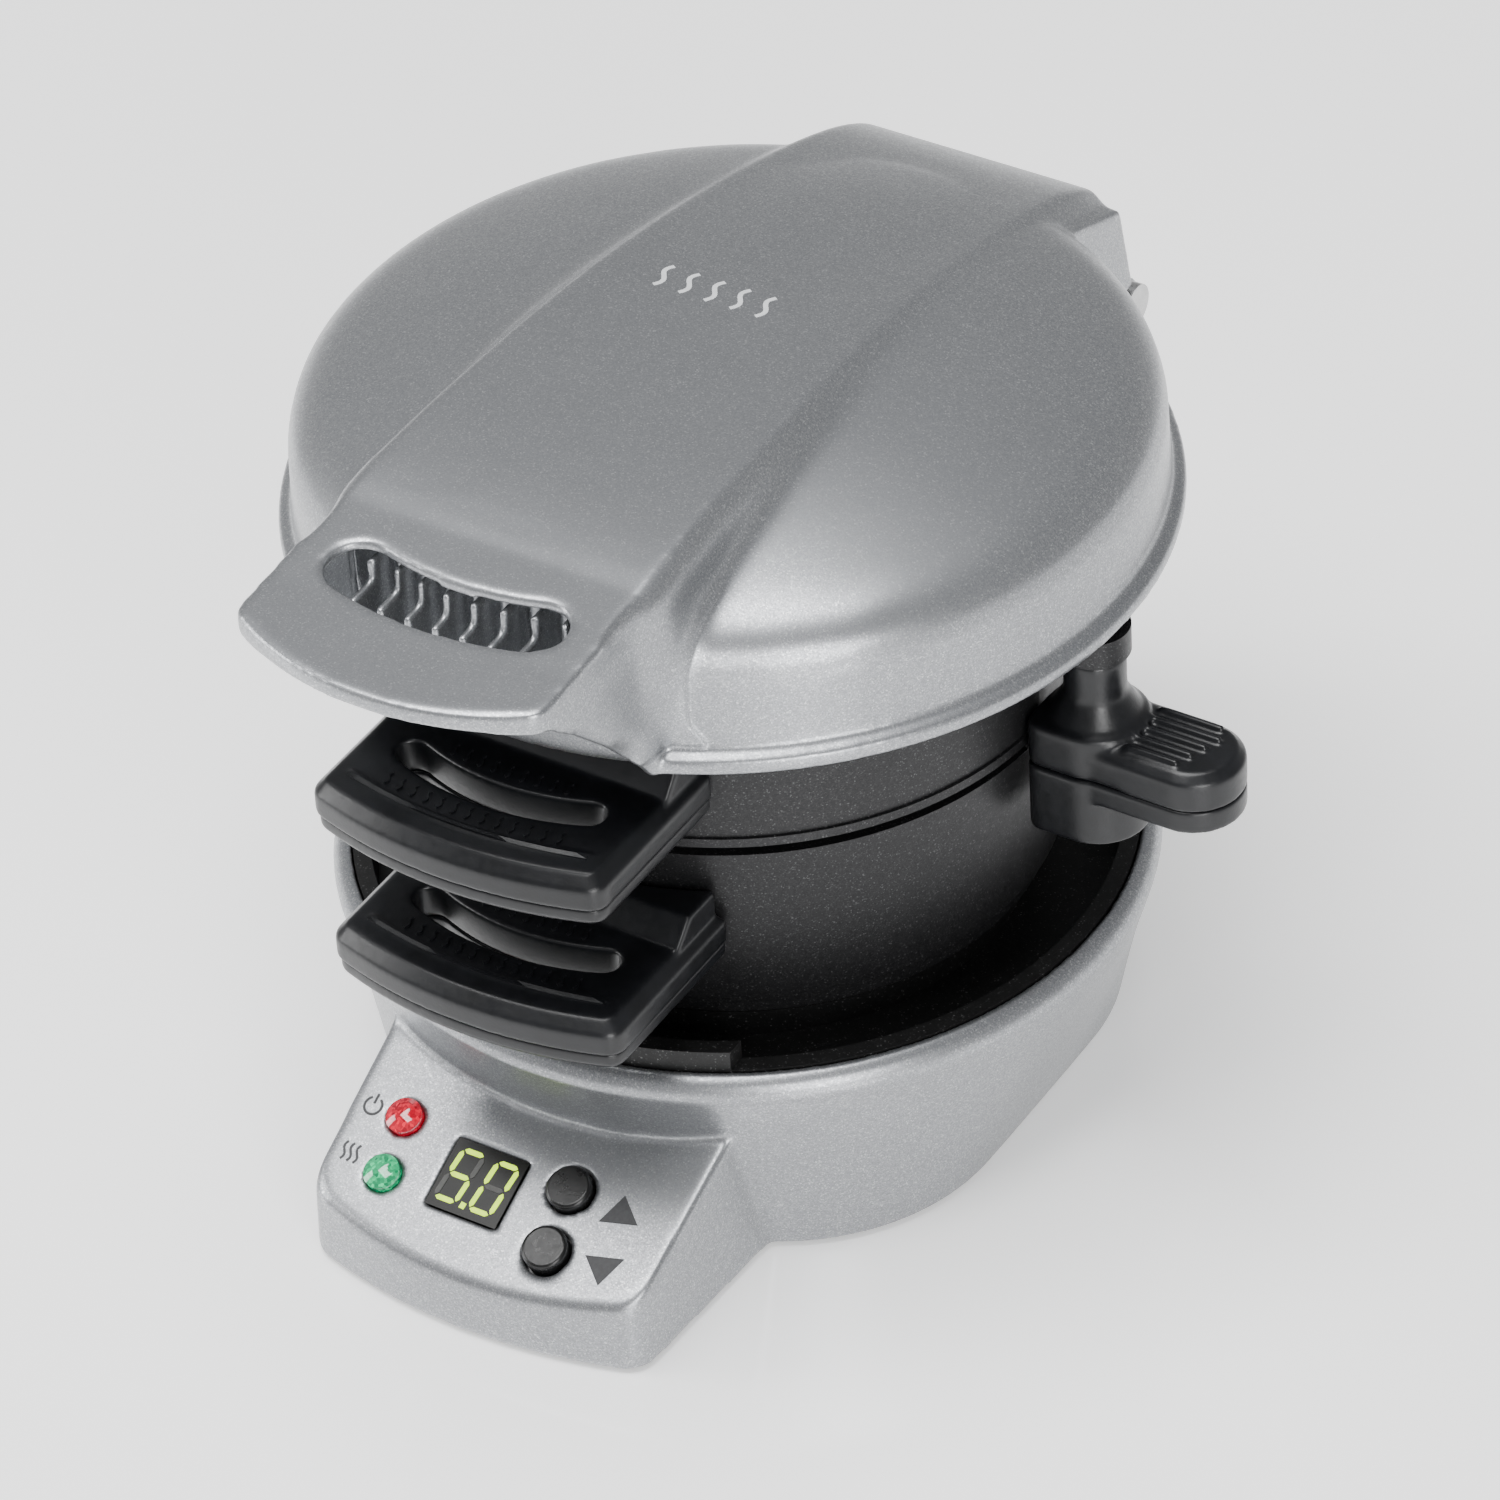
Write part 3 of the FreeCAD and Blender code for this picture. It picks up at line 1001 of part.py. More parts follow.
def lid_cover():
    flange = turned([
        (DOME_R - 3.0, FLANGE_Z0), (FLANGE_R, FLANGE_Z0), (FLANGE_R, FLANGE_Z1),
        (DOME_R + 0.2, FLANGE_Z1 + 1.0), (DOME_R - 3.0, FLANGE_Z1 + 1.0),
    ], LID_Y)
    outer = fuse_all([dome(0), raised_band(0), hinge_cover(0), lid_grip(0), flange])
    inside = fuse_all([dome(WALL), raised_band(WALL), hinge_cover(WALL)])
    grip_hollow = lid_grip(WALL).cut(rod(DOME_R + 0.4, FLANGE_Z0 - 20, DOME_TOP_Z + 20, 0, LID_Y))
    shell = outer.cut(inside).cut(grip_hollow)
    extras = []
    for k in range(LID_RIB_COUNT):
        x = (k - (LID_RIB_COUNT - 1) / 2) * LID_RIB_PITCH
        rib = side_prism([
            beside_flange(-0.174, 0.859), (RIB_FRONT_Y, beside_flange(0, 0.85)[1]),
            (RIB_FRONT_Y, beside_flange(0, 0.49)[1]), beside_flange(0.073, 0.239),
            beside_flange(-0.058, 0.127), beside_flange(-0.174, 0.127),
        ], x - LID_RIB_T / 2, x + LID_RIB_T / 2)
        extras.append(rib.cut(inside))
    extras += [rod(BOSS_R, LINER_Z1, DOME_TOP_Z, x, y).common(dome(WALL)) for x, y in LID_SCREW_SPOTS]
    extras += [rod(BOSS_R, ARM_TOP_Z, DOME_TOP_Z, x, y).common(inside) for x, y in ARM_SCREW_SPOTS]
    shell = fuse_all([shell] + extras)
    slot = bowed_slot(LID_SLOT_HALF, LID_SLOT_Y + 1.3, 2.6, LID_SLOT_WIDTH, DOME_TOP_Z - 9.5, DOME_TOP_Z + 15)
    pilots = [rod(SCREW_R + PIN_CLEAR, LINER_Z0, LINER_Z0 + 14, x, y) for x, y in LID_SCREW_SPOTS]
    pilots += [rod(SCREW_R + PIN_CLEAR, ARM_TOP_Z - 1, ARM_TOP_Z + 9, x, y) for x, y in ARM_SCREW_SPOTS]
    return cut_all(shell, [slot] + pilots)


def lid_arms():
    """Two side arms from the hinge pin to a plate that is screwed up into the lid."""
    root_y = HINGE_Y - 28.0
    knee_y = HINGE_Y - 10.5
    low_z = FLANGE_Z0 + 0.7
    arm = hinge_arm(LID_LANE[0], LID_LANE[1], [
        (root_y, low_z), (knee_y, low_z), (HINGE_Y - KNUCKLE_R + 0.2, HINGE_Z),
        (HINGE_Y, HINGE_Z + KNUCKLE_R - 0.2), (HINGE_Y - 3.8, HINGE_Z + KNUCKLE_R - 0.2),
        (HINGE_Y - 5.2, FLANGE_Z0 + 2.7), (knee_y + 0.5, ARM_TOP_Z), (root_y, ARM_TOP_Z),
    ])
    plate = box(-LID_LANE[1], LID_LANE[1], root_y, knee_y, ARM_TOP_Z - ARM_PLATE_T, ARM_TOP_Z)
    whole = fuse_all(mirrored_pair(arm) + [plate])
    return cut_all(whole, [rod(SCREW_R + 0.2, low_z, ARM_TOP_Z + 1, x, y) for x, y in ARM_SCREW_SPOTS])


def build_lid():
    add("lid_cover", lid_cover())
    liner = tube(LINER_R, HEATER_R + CLEAR, LINER_Z0, LINER_Z1, 0, STACK_Y)
    holes = [rod(SCREW_R + 0.2, LINER_Z0 - 1, LINER_Z1 + 1, x, y) for x, y in LID_SCREW_SPOTS]
    add("lid_liner", cut_all(liner, holes))
    back = UPPER_HEATER_BACK
    hanger_r = HEATER_R + 3.0
    hanger_z = LINER_Z1 + 1.6
    hanger = turned([
        (HEATER_R - 4.0, back - 0.5), (HEATER_R, back - 2.0), (HEATER_R, LINER_Z1),
        (hanger_r, LINER_Z1), (hanger_r, hanger_z), (HEATER_R - 4.0, hanger_z),
    ], STACK_Y)
    add("upper_heating_plate", fuse_all([heater_disc(UPPER_HEATER_FACE, False), hanger]))
    add("upper_heating_element", sheathed_element(back, 1))
    add("upper_thermostat", thermostat(back, 1))
    add("upper_thermal_fuse", thermal_fuse(back, 1))
    add("lid_hinge_arms", lid_arms())
    screws = [screw(x, y, LINER_Z0, 11.0) for x, y in LID_SCREW_SPOTS]
    add("lid_screws", Part.makeCompound(screws))
    screws = [screw(x, y, ARM_TOP_Z - ARM_PLATE_T, 11.0) for x, y in ARM_SCREW_SPOTS]
    add("hinge_arm_screws", Part.makeCompound(screws))


# ---------------------------------------------------------------- build and write
def main():
    build_base()
    build_tower()
    build_lower_ring()
    build_upper_ring()
    build_cooking_plate()
    build_lid()
    os.makedirs("parts", exist_ok=True)
    for name, shape in NODES.items():
        if not shape.isValid() or not shape.Solids:
            print("CHECK", name, "valid", shape.isValid(), "solids", len(shape.Solids))
        shape.exportStep("parts/" + name + ".step")
        print(name, len(shape.Solids), round(shape.Volume, 1))


main()
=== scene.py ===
import bpy
import bmesh
import json
import math
import numpy as np
from mathutils import Matrix, Vector
from mathutils.bvhtree import BVHTree

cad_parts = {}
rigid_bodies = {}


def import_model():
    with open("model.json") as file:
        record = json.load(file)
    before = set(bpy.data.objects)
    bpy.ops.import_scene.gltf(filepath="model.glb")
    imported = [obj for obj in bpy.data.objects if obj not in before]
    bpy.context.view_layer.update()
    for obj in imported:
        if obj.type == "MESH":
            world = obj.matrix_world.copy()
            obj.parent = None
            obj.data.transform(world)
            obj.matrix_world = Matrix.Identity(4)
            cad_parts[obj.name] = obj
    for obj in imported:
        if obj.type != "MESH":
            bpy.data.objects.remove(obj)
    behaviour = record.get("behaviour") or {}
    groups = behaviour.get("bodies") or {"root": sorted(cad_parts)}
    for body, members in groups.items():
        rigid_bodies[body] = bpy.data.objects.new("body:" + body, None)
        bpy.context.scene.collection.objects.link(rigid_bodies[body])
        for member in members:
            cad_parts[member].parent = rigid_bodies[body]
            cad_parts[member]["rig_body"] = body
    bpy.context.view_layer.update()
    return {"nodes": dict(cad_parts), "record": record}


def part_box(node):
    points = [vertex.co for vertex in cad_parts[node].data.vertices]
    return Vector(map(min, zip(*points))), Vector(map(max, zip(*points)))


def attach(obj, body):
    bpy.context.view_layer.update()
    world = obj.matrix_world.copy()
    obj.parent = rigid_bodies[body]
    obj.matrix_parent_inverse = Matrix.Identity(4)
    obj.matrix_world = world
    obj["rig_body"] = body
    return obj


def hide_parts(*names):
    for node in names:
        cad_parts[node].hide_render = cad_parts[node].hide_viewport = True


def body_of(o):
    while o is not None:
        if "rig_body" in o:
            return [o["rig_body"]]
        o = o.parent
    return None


# Looks of the breakfast sandwich maker. Metres, +Z up, front at -Y, right at +X.

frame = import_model()
MM = 0.001
SLOT_OF = {part["node"]: part["material_slot"] for part in frame["record"]["subparts"]}


# ---------------------------------------------------------------- material helpers
class Look:
    """A Principled material whose colour, roughness and relief come from textures in object space."""

    def __init__(self, name, metallic=0.0, roughness=0.5):
        self.material = bpy.data.materials.new(name)
        self.material.use_nodes = True
        self.tree = self.material.node_tree
        self.shader = self.tree.nodes["Principled BSDF"]
        self.set("Metallic", metallic)
        self.set("Roughness", roughness)
        self.coords = self.tree.nodes.new("ShaderNodeTexCoord").outputs["Object"]

    def set(self, socket, value):
        self.shader.inputs[socket].default_value = value

    def link(self, output, target):
        self.tree.links.new(output, target)

    def noise(self, size, detail=3.0, roughness=0.6):
        node = self.tree.nodes.new("ShaderNodeTexNoise")
        node.inputs["Scale"].default_value = 1 / size
        node.inputs["Detail"].default_value = detail
        node.inputs["Roughness"].default_value = roughness
        self.link(self.coords, node.inputs["Vector"])
        return node.outputs["Fac"]

    def flakes(self, size):
        """One random grey per cell."""
        node = self.tree.nodes.new("ShaderNodeTexVoronoi")
        node.inputs["Scale"].default_value = 1 / size
        self.link(self.coords, node.inputs["Vector"])
        split = self.tree.nodes.new("ShaderNodeSeparateColor")
        self.link(node.outputs["Color"], split.inputs["Color"])
        return split.outputs["Red"]

    def ramp(self, factor, stops):
        node = self.tree.nodes.new("ShaderNodeValToRGB")
        elements = node.color_ramp.elements
        while len(elements) < len(stops):
            elements.new(0.5)
        for element, (place, colour) in zip(elements, stops):
            element.position = place
            rgb = colour if isinstance(colour, tuple) else (colour, colour, colour)
            element.color = (*rgb, 1.0)
        self.link(factor, node.inputs["Fac"])
        return node.outputs["Color"]

    def blend(self, a, b, share, mode="MULTIPLY"):
        node = self.tree.nodes.new("ShaderNodeMix")
        node.data_type = "RGBA"
        node.blend_type = mode
        node.inputs["Factor"].default_value = share
        self.link(a, node.inputs["A"])
        self.link(b, node.inputs["B"])
        return node.outputs["Result"]

    def colour(self, output):
        self.link(output, self.shader.inputs["Base Color"])

    def rough(self, output):
        self.link(output, self.shader.inputs["Roughness"])

    def bump(self, height, depth, strength=1.0):
        node = self.tree.nodes.new("ShaderNodeBump")
        node.inputs["Distance"].default_value = depth
        node.inputs["Strength"].default_value = strength
        self.link(height, node.inputs["Height"])
        self.link(node.outputs["Normal"], self.shader.inputs["Normal"])


def silver_shell():
    look = Look("silver_shell_paint", metallic=0.85, roughness=0.36)
    greys = [(0.0, (0.235, 0.243, 0.256)), (0.6, (0.305, 0.313, 0.326)),
             (0.92, (0.365, 0.373, 0.385)), (1.0, (0.54, 0.55, 0.56))]
    fleck = look.ramp(look.flakes(0.23 * MM), greys)
    cloud = look.ramp(look.noise(18 * MM), [(0.3, 0.95), (0.7, 1.0)])
    look.colour(look.blend(fleck, cloud, 1.0))
    look.rough(look.ramp(look.flakes(0.23 * MM), [(0.0, 0.4), (1.0, 0.3)]))
    look.bump(look.noise(0.4 * MM, detail=2.0), 0.012 * MM, 0.5)
    look.set("Coat Weight", 0.2)
    look.set("Coat Roughness", 0.2)
    return look.material


def nonstick():
    look = Look("nonstick_coating", metallic=0.55, roughness=0.42)
    greys = [(0.0, (0.010, 0.010, 0.011)), (0.85, (0.02, 0.02, 0.021)),
             (0.96, (0.035, 0.035, 0.036)), (1.0, (0.075, 0.075, 0.077))]
    look.colour(look.ramp(look.flakes(0.24 * MM), greys))
    look.rough(look.ramp(look.noise(2.2 * MM), [(0.3, 0.47), (0.7, 0.38)]))
    look.bump(look.noise(0.35 * MM), 0.03 * MM, 0.6)
    return look.material


def black_liner():
    look = Look("black_liner_coating", metallic=0.3, roughness=0.5)
    look.colour(look.ramp(look.flakes(0.24 * MM), [(0.0, 0.004), (0.9, 0.008), (0.97, 0.022), (1.0, 0.09)]))
    look.rough(look.ramp(look.noise(3 * MM), [(0.3, 0.55), (0.7, 0.45)]))
    look.bump(look.noise(0.35 * MM), 0.03 * MM, 0.6)
    return look.material


def moulded_black(name, dark, light, roughness, grain):
    look = Look(name, roughness=roughness)
    look.colour(look.ramp(look.noise(6 * MM), [(0.3, dark), (0.7, light)]))
    look.rough(look.ramp(look.noise(1.6 * MM), [(0.3, roughness + 0.05), (0.7, roughness - 0.05)]))
    look.bump(look.noise(grain), 0.035 * MM, 0.6)
    look.set("Specular IOR Level", 0.4)
    return look.material


def bare_metal(name, dark, light, roughness):
    look = Look(name, metallic=1.0, roughness=roughness)
    look.colour(look.ramp(look.noise(3 * MM), [(0.25, dark), (0.75, light)]))
    look.rough(look.ramp(look.noise(0.7 * MM), [(0.3, roughness + 0.08), (0.7, roughness - 0.06)]))
    look.bump(look.noise(0.6 * MM), 0.02 * MM, 0.5)
    return look.material


def tinted_lens(name, deep, bright):
    look = Look(name, roughness=0.08)
    middle = tuple((a + b) / 2 for a, b in zip(deep, bright))
    facet = look.ramp(look.flakes(0.6 * MM), [(0.0, deep), (0.7, middle), (1.0, bright)])
    look.colour(facet)
    look.link(facet, look.shader.inputs["Emission Color"])
    look.set("Emission Strength", 0.15)
    look.set("Coat Weight", 1.0)
    look.set("Coat Roughness", 0.04)
    look.bump(look.noise(1.4 * MM, detail=0.0), 0.05 * MM, 0.3)
    return look.material


def dark_window():
    look = Look("dark_window_gloss", roughness=0.22)
    look.colour(look.ramp(look.noise(4 * MM), [(0.3, (0.003, 0.003, 0.0025)), (0.7, (0.006, 0.0065, 0.005))]))
    look.set("Specular IOR Level", 0.2)
    return look.material


def lit_segment():
    look = Look("display_segment_lit", roughness=0.4)
    glow = look.ramp(look.noise(1.2 * MM), [(0.3, (0.42, 0.66, 0.0)), (0.7, (0.55, 0.8, 0.01))])
    look.colour(glow)
    look.link(glow, look.shader.inputs["Emission Color"])
    look.set("Emission Strength", 1.3)
    return look.material


def grey_print(name, dark, light):
    look = Look(name, roughness=0.5)
    look.colour(look.ramp(look.noise(0.8 * MM), [(0.3, dark), (0.7, light)]))
    return look.material


def circuit_board():
    look = Look("circuit_board_mask", roughness=0.35)
    look.colour(look.ramp(look.noise(1.5 * MM), [(0.35, (0.01, 0.09, 0.04)), (0.6, (0.02, 0.16, 0.07))]))
    return look.material


def clear_led():
    look = Look("led_epoxy", roughness=0.12)
    look.colour(look.ramp(look.noise(0.8 * MM), [(0.3, 0.6), (0.7, 0.75)]))
    look.set("Transmission Weight", 0.5)
    return look.material


LOOKS = {
    "silver_shell": silver_shell(),
    "nonstick": nonstick(),
    "black_liner": black_liner(),
    "black_phenolic": moulded_black("black_phenolic_moulded", (0.003, 0.0033, 0.004), (0.006, 0.0065, 0.008),
                                    0.34, 0.5 * MM),
    "black_plastic": moulded_black("black_plastic_moulded", 0.007, 0.011, 0.5, 0.4 * MM),
    "rubber": moulded_black("rubber_matt", 0.014, 0.022, 0.75, 0.3 * MM),
    "button_black": moulded_black("button_black_moulded", 0.003, 0.005, 0.3, 0.6 * MM),
    "steel": bare_metal("steel_plain", 0.45, 0.55, 0.3),
    "screw_steel": bare_metal("screw_zinc", 0.5, 0.6, 0.34),
    "element_steel": bare_metal("element_sheath", 0.12, 0.2, 0.5),
    "red_lens": tinted_lens("lens_red", (0.22, 0.0, 0.008), (0.8, 0.01, 0.04)),
    "green_lens": tinted_lens("lens_green", (0.0, 0.16, 0.06), (0.02, 0.62, 0.24)),
    "dark_window": dark_window(),
    "electronics_black": moulded_black("component_black", 0.02, 0.03, 0.5, 0.4 * MM),
    "fuse_metal": bare_metal("fuse_can", 0.6, 0.72, 0.3),
    "led_clear": clear_led(),
    "circuit_board": circuit_board(),
}
SEGMENT_LIT = lit_segment()
SEGMENT_OFF = grey_print("display_segment_off", (0.035, 0.035, 0.033), (0.055, 0.055, 0.05))
PANEL_PRINT = grey_print("panel_print_grey", (0.012, 0.012, 0.014), (0.02, 0.021, 0.023))
PALE_PRINT = grey_print("lid_print_pale", (0.5, 0.51, 0.52), (0.58, 0.59, 0.6))


def dress_cad_nodes():
    for node, finish in SLOT_OF.items():
        piece = frame["nodes"][node]
        piece.data.materials.clear()
        piece.data.materials.append(LOOKS[finish])


# ---------------------------------------------------------------- softened mouldings
def fine_mesh(node, voxel):
    """An even quad mesh of a CAD solid, as vertex places and a new mesh."""
    copy = bpy.data.objects.new("even", frame["nodes"][node].data)
    bpy.context.scene.collection.objects.link(copy)
    remesh = copy.modifiers.new("remesh", "REMESH")
    remesh.mode = "VOXEL"
    remesh.voxel_size = voxel
    remesh.use_smooth_shade = True
    graph = bpy.context.evaluated_depsgraph_get()
    mesh = bpy.data.meshes.new_from_object(copy.evaluated_get(graph))
    bpy.data.objects.remove(copy)
    places = np.empty(len(mesh.vertices) * 3)
    mesh.vertices.foreach_get("co", places)
    return places.reshape(-1, 3), mesh


def relax(places, mesh, softness, rounds):
    """Draws each vertex towards its neighbours, by its own share of the way, some rounds over."""
    ends = np.empty(len(mesh.edges) * 2, dtype=np.int64)
    mesh.edges.foreach_get("vertices", ends)
    a, b = ends[0::2], ends[1::2]
    count = len(places)
    degree = np.bincount(a, minlength=count) + np.bincount(b, minlength=count)
    for _ in range(rounds):
        mean = np.empty_like(places)
        for axis in range(3):
            values = places[:, axis]
            total = np.bincount(a, values[b], count) + np.bincount(b, values[a], count)
            mean[:, axis] = total / degree
        places = places + softness[:, None] * (mean - places)
    return places


def moulding(node, voxel, rounds, softness=None, warp=None, relief=None):
    """Replaces a CAD node by the same shape with moulded edges."""
    places, mesh = fine_mesh(node, voxel)
    if warp is not None:
        places = places + warp(places)
    share = np.full(len(places), 0.5) if softness is None else softness(places)
    places = relax(places, mesh, share, rounds)
    mesh.vertices.foreach_set("co", places.ravel())
    mesh.update()
    if relief is not None:
        normals = np.empty(len(places) * 3)
        mesh.vertices.foreach_get("normal", normals)
        places = places + relief(places, normals.reshape(-1, 3))
        mesh.vertices.foreach_set("co", places.ravel())
        mesh.update()
    finish = SLOT_OF[node]
    mesh.materials.clear()
    mesh.materials.append(LOOKS[finish])
    piece = bpy.data.objects.new(node + "_moulded", mesh)
    bpy.context.scene.collection.objects.link(piece)
    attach(piece, body_of(frame["nodes"][node])[0])
    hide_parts(node)


def ease(values, start, end):
    """0 before start, 1 after end, smooth between."""
    t = np.clip((values - start) / (end - start), 0, 1)
    return t * t * (3 - 2 * t)


def fade(values, start, end):
    """1 before start, 0 after end, smooth between."""
    return 1 - ease(values, start, end)


def span(node, axis):
    """Low and high end of a CAD node along an axis."""
    low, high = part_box(node)
    return low[axis], high[axis]


def soften_base():
    """The nose's front edges are drawn soft; the controls, the foot and the rim keep small edges."""
    front = span("base_housing", 1)[0]
    rim = span("base_housing", 2)[1]
    controls_half = 27 * MM

    def softness(p):
        beside, behind, z = abs(p[:, 0]), p[:, 1] - front, p[:, 2]
        nose_edge = fade(behind, 6 * MM, 12 * MM) * fade(z, 22 * MM, 26 * MM)
        controls = fade(beside, controls_half, controls_half + 2 * MM) * ease(behind, 4 * MM, 6 * MM)
        controls *= fade(behind, 27 * MM, 30 * MM) * ease(z, 15 * MM, 17 * MM)
        foot = fade(z, 1.5 * MM, 4 * MM)
        top = ease(z, rim - 3 * MM, rim - 1 * MM)
        soft = 0.2 + 0.4 * nose_edge * (1 - foot)
        return np.clip(soft * (1 - 0.5 * top) * (1 - 0.85 * controls), 0.02, 0.6)

    moulding("base_housing", 0.5 * MM, 40, softness)


def soften_lid():
    """The valleys beside the raised band run out in wide soft curves; handle and flange keep small edges."""
    front = span("lid_cover", 1)[0]
    flange = span("lid_cover", 2)[0]
    handle_length = 40.4 * MM
    band_half, band_taper, band_length = 28.8 * MM, 0.032, 147 * MM
    widest, border_height = 1.7 * MM, 0.5 * MM

    def around(p):
        """How far beside the middle, behind the handle and above the flange's underside."""
        return abs(p[:, 0]), p[:, 1] - front - handle_length, p[:, 2] - flange

    def warp(p):
        """The band's edge runs on from the handle's in one line: it moves out most just behind the handle."""
        beside, behind, above = around(p)
        share = np.clip(1 - behind / band_length, 0, 1) * ease(behind, -0.6 * MM, 0)
        share *= ease(beside, 10 * MM, 26 * MM) * fade(beside, 33 * MM, 42 * MM)
        share *= ease(above, 12.2 * MM, 26.2 * MM)
        shift = np.zeros_like(p)
        shift[:, 0] = np.sign(p[:, 0]) * widest * share
        return shift

    def softness(p):
        beside, behind, above = around(p)
        band_edge = band_half - behind * band_taper
        valley = ease(beside, band_edge + 0.8 * MM, band_edge + 4 * MM)
        valley *= fade(beside, band_edge + 20 * MM, band_edge + 30 * MM)
        high = ease(above, 7.7 * MM, 12.2 * MM) * fade(behind, 120 * MM, 130 * MM)
        handle = fade(behind, -4.4 * MM, 1.6 * MM) * fade(beside, 30.2 * MM, 32 * MM)
        junction = ease(beside, 29 * MM, 31 * MM) * fade(abs(behind), 7 * MM, 13 * MM)
        crown = fade(beside, 19 * MM, 22 * MM) * ease(behind, 77 * MM, 87 * MM)
        crown *= ease(above, 24.2 * MM, 28.2 * MM)
        wide = np.maximum(valley * (1 - handle), np.maximum(junction, crown))
        return np.clip(0.07 + 0.7 * wide * high, 0.02, 0.77)

    def relief(p, normals):
        """The flare beside the handle stands a little proud of the dome wall, up to a curved border."""
        beside, behind, above = around(p)
        border = 34 * MM + 2.5 * MM * fade(above, 7.2 * MM, 13.2 * MM)
        proud = fade(beside, border, border + 0.9 * MM) * ease(beside, border - 9 * MM, border - 2 * MM)
        proud *= fade(behind, 16 * MM, 20 * MM)
        proud *= ease(above, 6.6 * MM, 8.2 * MM) * fade(above, 29.2 * MM, 35.2 * MM)
        outward = np.clip(normals[:, 0] * np.sign(p[:, 0]) * 0.6 - normals[:, 1], 0, 1) > 0.25
        return normals * (border_height * proud * outward)[:, None]

    moulding("lid_cover", 0.5 * MM, 110, softness, warp, relief)


def soften_ring_handles():
    for leaf in ("lower", "upper"):
        for half in ("top", "bottom"):
            moulding(f"{leaf}_handle_{half}", 0.3 * MM, 14)


def soften_plate_handle():
    """The column over the pivot is drawn soft; the grip and its ribs keep small edges."""
    pivot = sum(span("plate_pivot_pin", 0)) / 2

    def softness(p):
        return 0.12 + 0.38 * fade(p[:, 0], pivot + 8 * MM, pivot + 11 * MM)

    moulding("plate_handle_top", 0.3 * MM, 40, softness)
    moulding("plate_handle_bottom", 0.3 * MM, 14)


# ---------------------------------------------------------------- printed and raised marks
class Face:
    """A CAD node seen from one side, with directions across and up that side."""

    def __init__(self, node, tilt):
        mesh = frame["nodes"][node].data
        points = [v.co for v in mesh.vertices]
        self.tree = BVHTree.FromPolygons(points, [tuple(f.vertices) for f in mesh.polygons])
        self.across = Vector((1, 0, 0))
        self.up = Vector((0, math.cos(tilt), math.sin(tilt)))
        self.out = Vector((0, -math.sin(tilt), math.cos(tilt)))

    def middle(self, node):
        """Across and up place of another node's middle."""
        points = [v.co for v in frame["nodes"][node].data.vertices]
        across = [p.dot(self.across) for p in points]
        up = [p.dot(self.up) for p in points]
        return (min(across) + max(across)) / 2, (min(up) + max(up)) / 2

    def on(self, across, up, height):
        """The surface point at this place, lifted by height."""
        # a ray that runs exactly along an edge between two facets may slip through, so it is nudged
        for nudge in (0, 0.01 * MM, 0.03 * MM):
            start = self.across * (across + nudge) + self.up * up + self.out * 0.5
            hit = self.tree.ray_cast(start, -self.out)[0]
            if hit is not None:
                return hit + self.out * height
        raise ValueError(f"nothing under the mark at {across:.4f}, {up:.4f}")


def ribbon(bm, face, path, widths, height, sunk=0.1 * MM):
    """A flat strip along a path of (across, up) points, laid on a face with some height."""
    rows = []
    for k, (x, y) in enumerate(path):
        before, after = path[max(k - 1, 0)], path[min(k + 1, len(path) - 1)]
        along = Vector((after[0] - before[0], after[1] - before[1])).normalized()
        side = Vector((-along.y, along.x)) * (widths[k] / 2)
        left, right = (x + side.x, y + side.y), (x - side.x, y - side.y)
        row = (face.on(*left, -sunk), face.on(*left, height), face.on(*right, height), face.on(*right, -sunk))
        rows.append([bm.verts.new(p) for p in row])
    for a, b in zip(rows, rows[1:]):
        for k in range(4):
            bm.faces.new((a[k], a[(k + 1) % 4], b[(k + 1) % 4], b[k]))
    bm.faces.new(rows[0])
    bm.faces.new(rows[-1][::-1])


def marks(name, node, look, draw):
    """One piece holding all the strips that draw() lays on a CAD node."""
    bm = bmesh.new()
    draw(bm)
    bmesh.ops.recalc_face_normals(bm, faces=bm.faces)
    mesh = bpy.data.meshes.new(name)
    bm.to_mesh(mesh)
    bm.free()
    mesh.materials.append(look)
    piece = bpy.data.objects.new(name, mesh)
    bpy.context.scene.collection.objects.link(piece)
    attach(piece, body_of(frame["nodes"][node])[0])


PANEL_TILT = math.radians(26)
# which of a digit's seven strips are lit: top, upper right, lower right, foot, lower left, upper left, middle
FIVE = (1, 0, 1, 1, 0, 1, 1)
ZERO = (1, 1, 1, 1, 1, 1, 0)


def digit_strips(middle_x, middle_up, half_w, half_h, slant):
    """The ends of a digit's seven strips, leaning to the right by slant."""
    def at(x, up):
        return middle_x + x * half_w + up * half_h * slant, middle_up + up * half_h
    return [(at(-1, 1), at(1, 1)), (at(1, 1), at(1, 0)), (at(1, 0), at(1, -1)), (at(-1, -1), at(1, -1)),
            (at(-1, 0), at(-1, -1)), (at(-1, 1), at(-1, 0)), (at(-1, 0), at(1, 0))]


def strip(bm, face, start, end, width, height):
    """One display strip with pointed ends, just short of both corners."""
    def part(t):
        return start[0] + (end[0] - start[0]) * t, start[1] + (end[1] - start[1]) * t
    path = [part(t) for t in (0.06, 0.18, 0.82, 0.94)]
    ribbon(bm, face, path, [width * 0.15, width, width, width * 0.15], height)


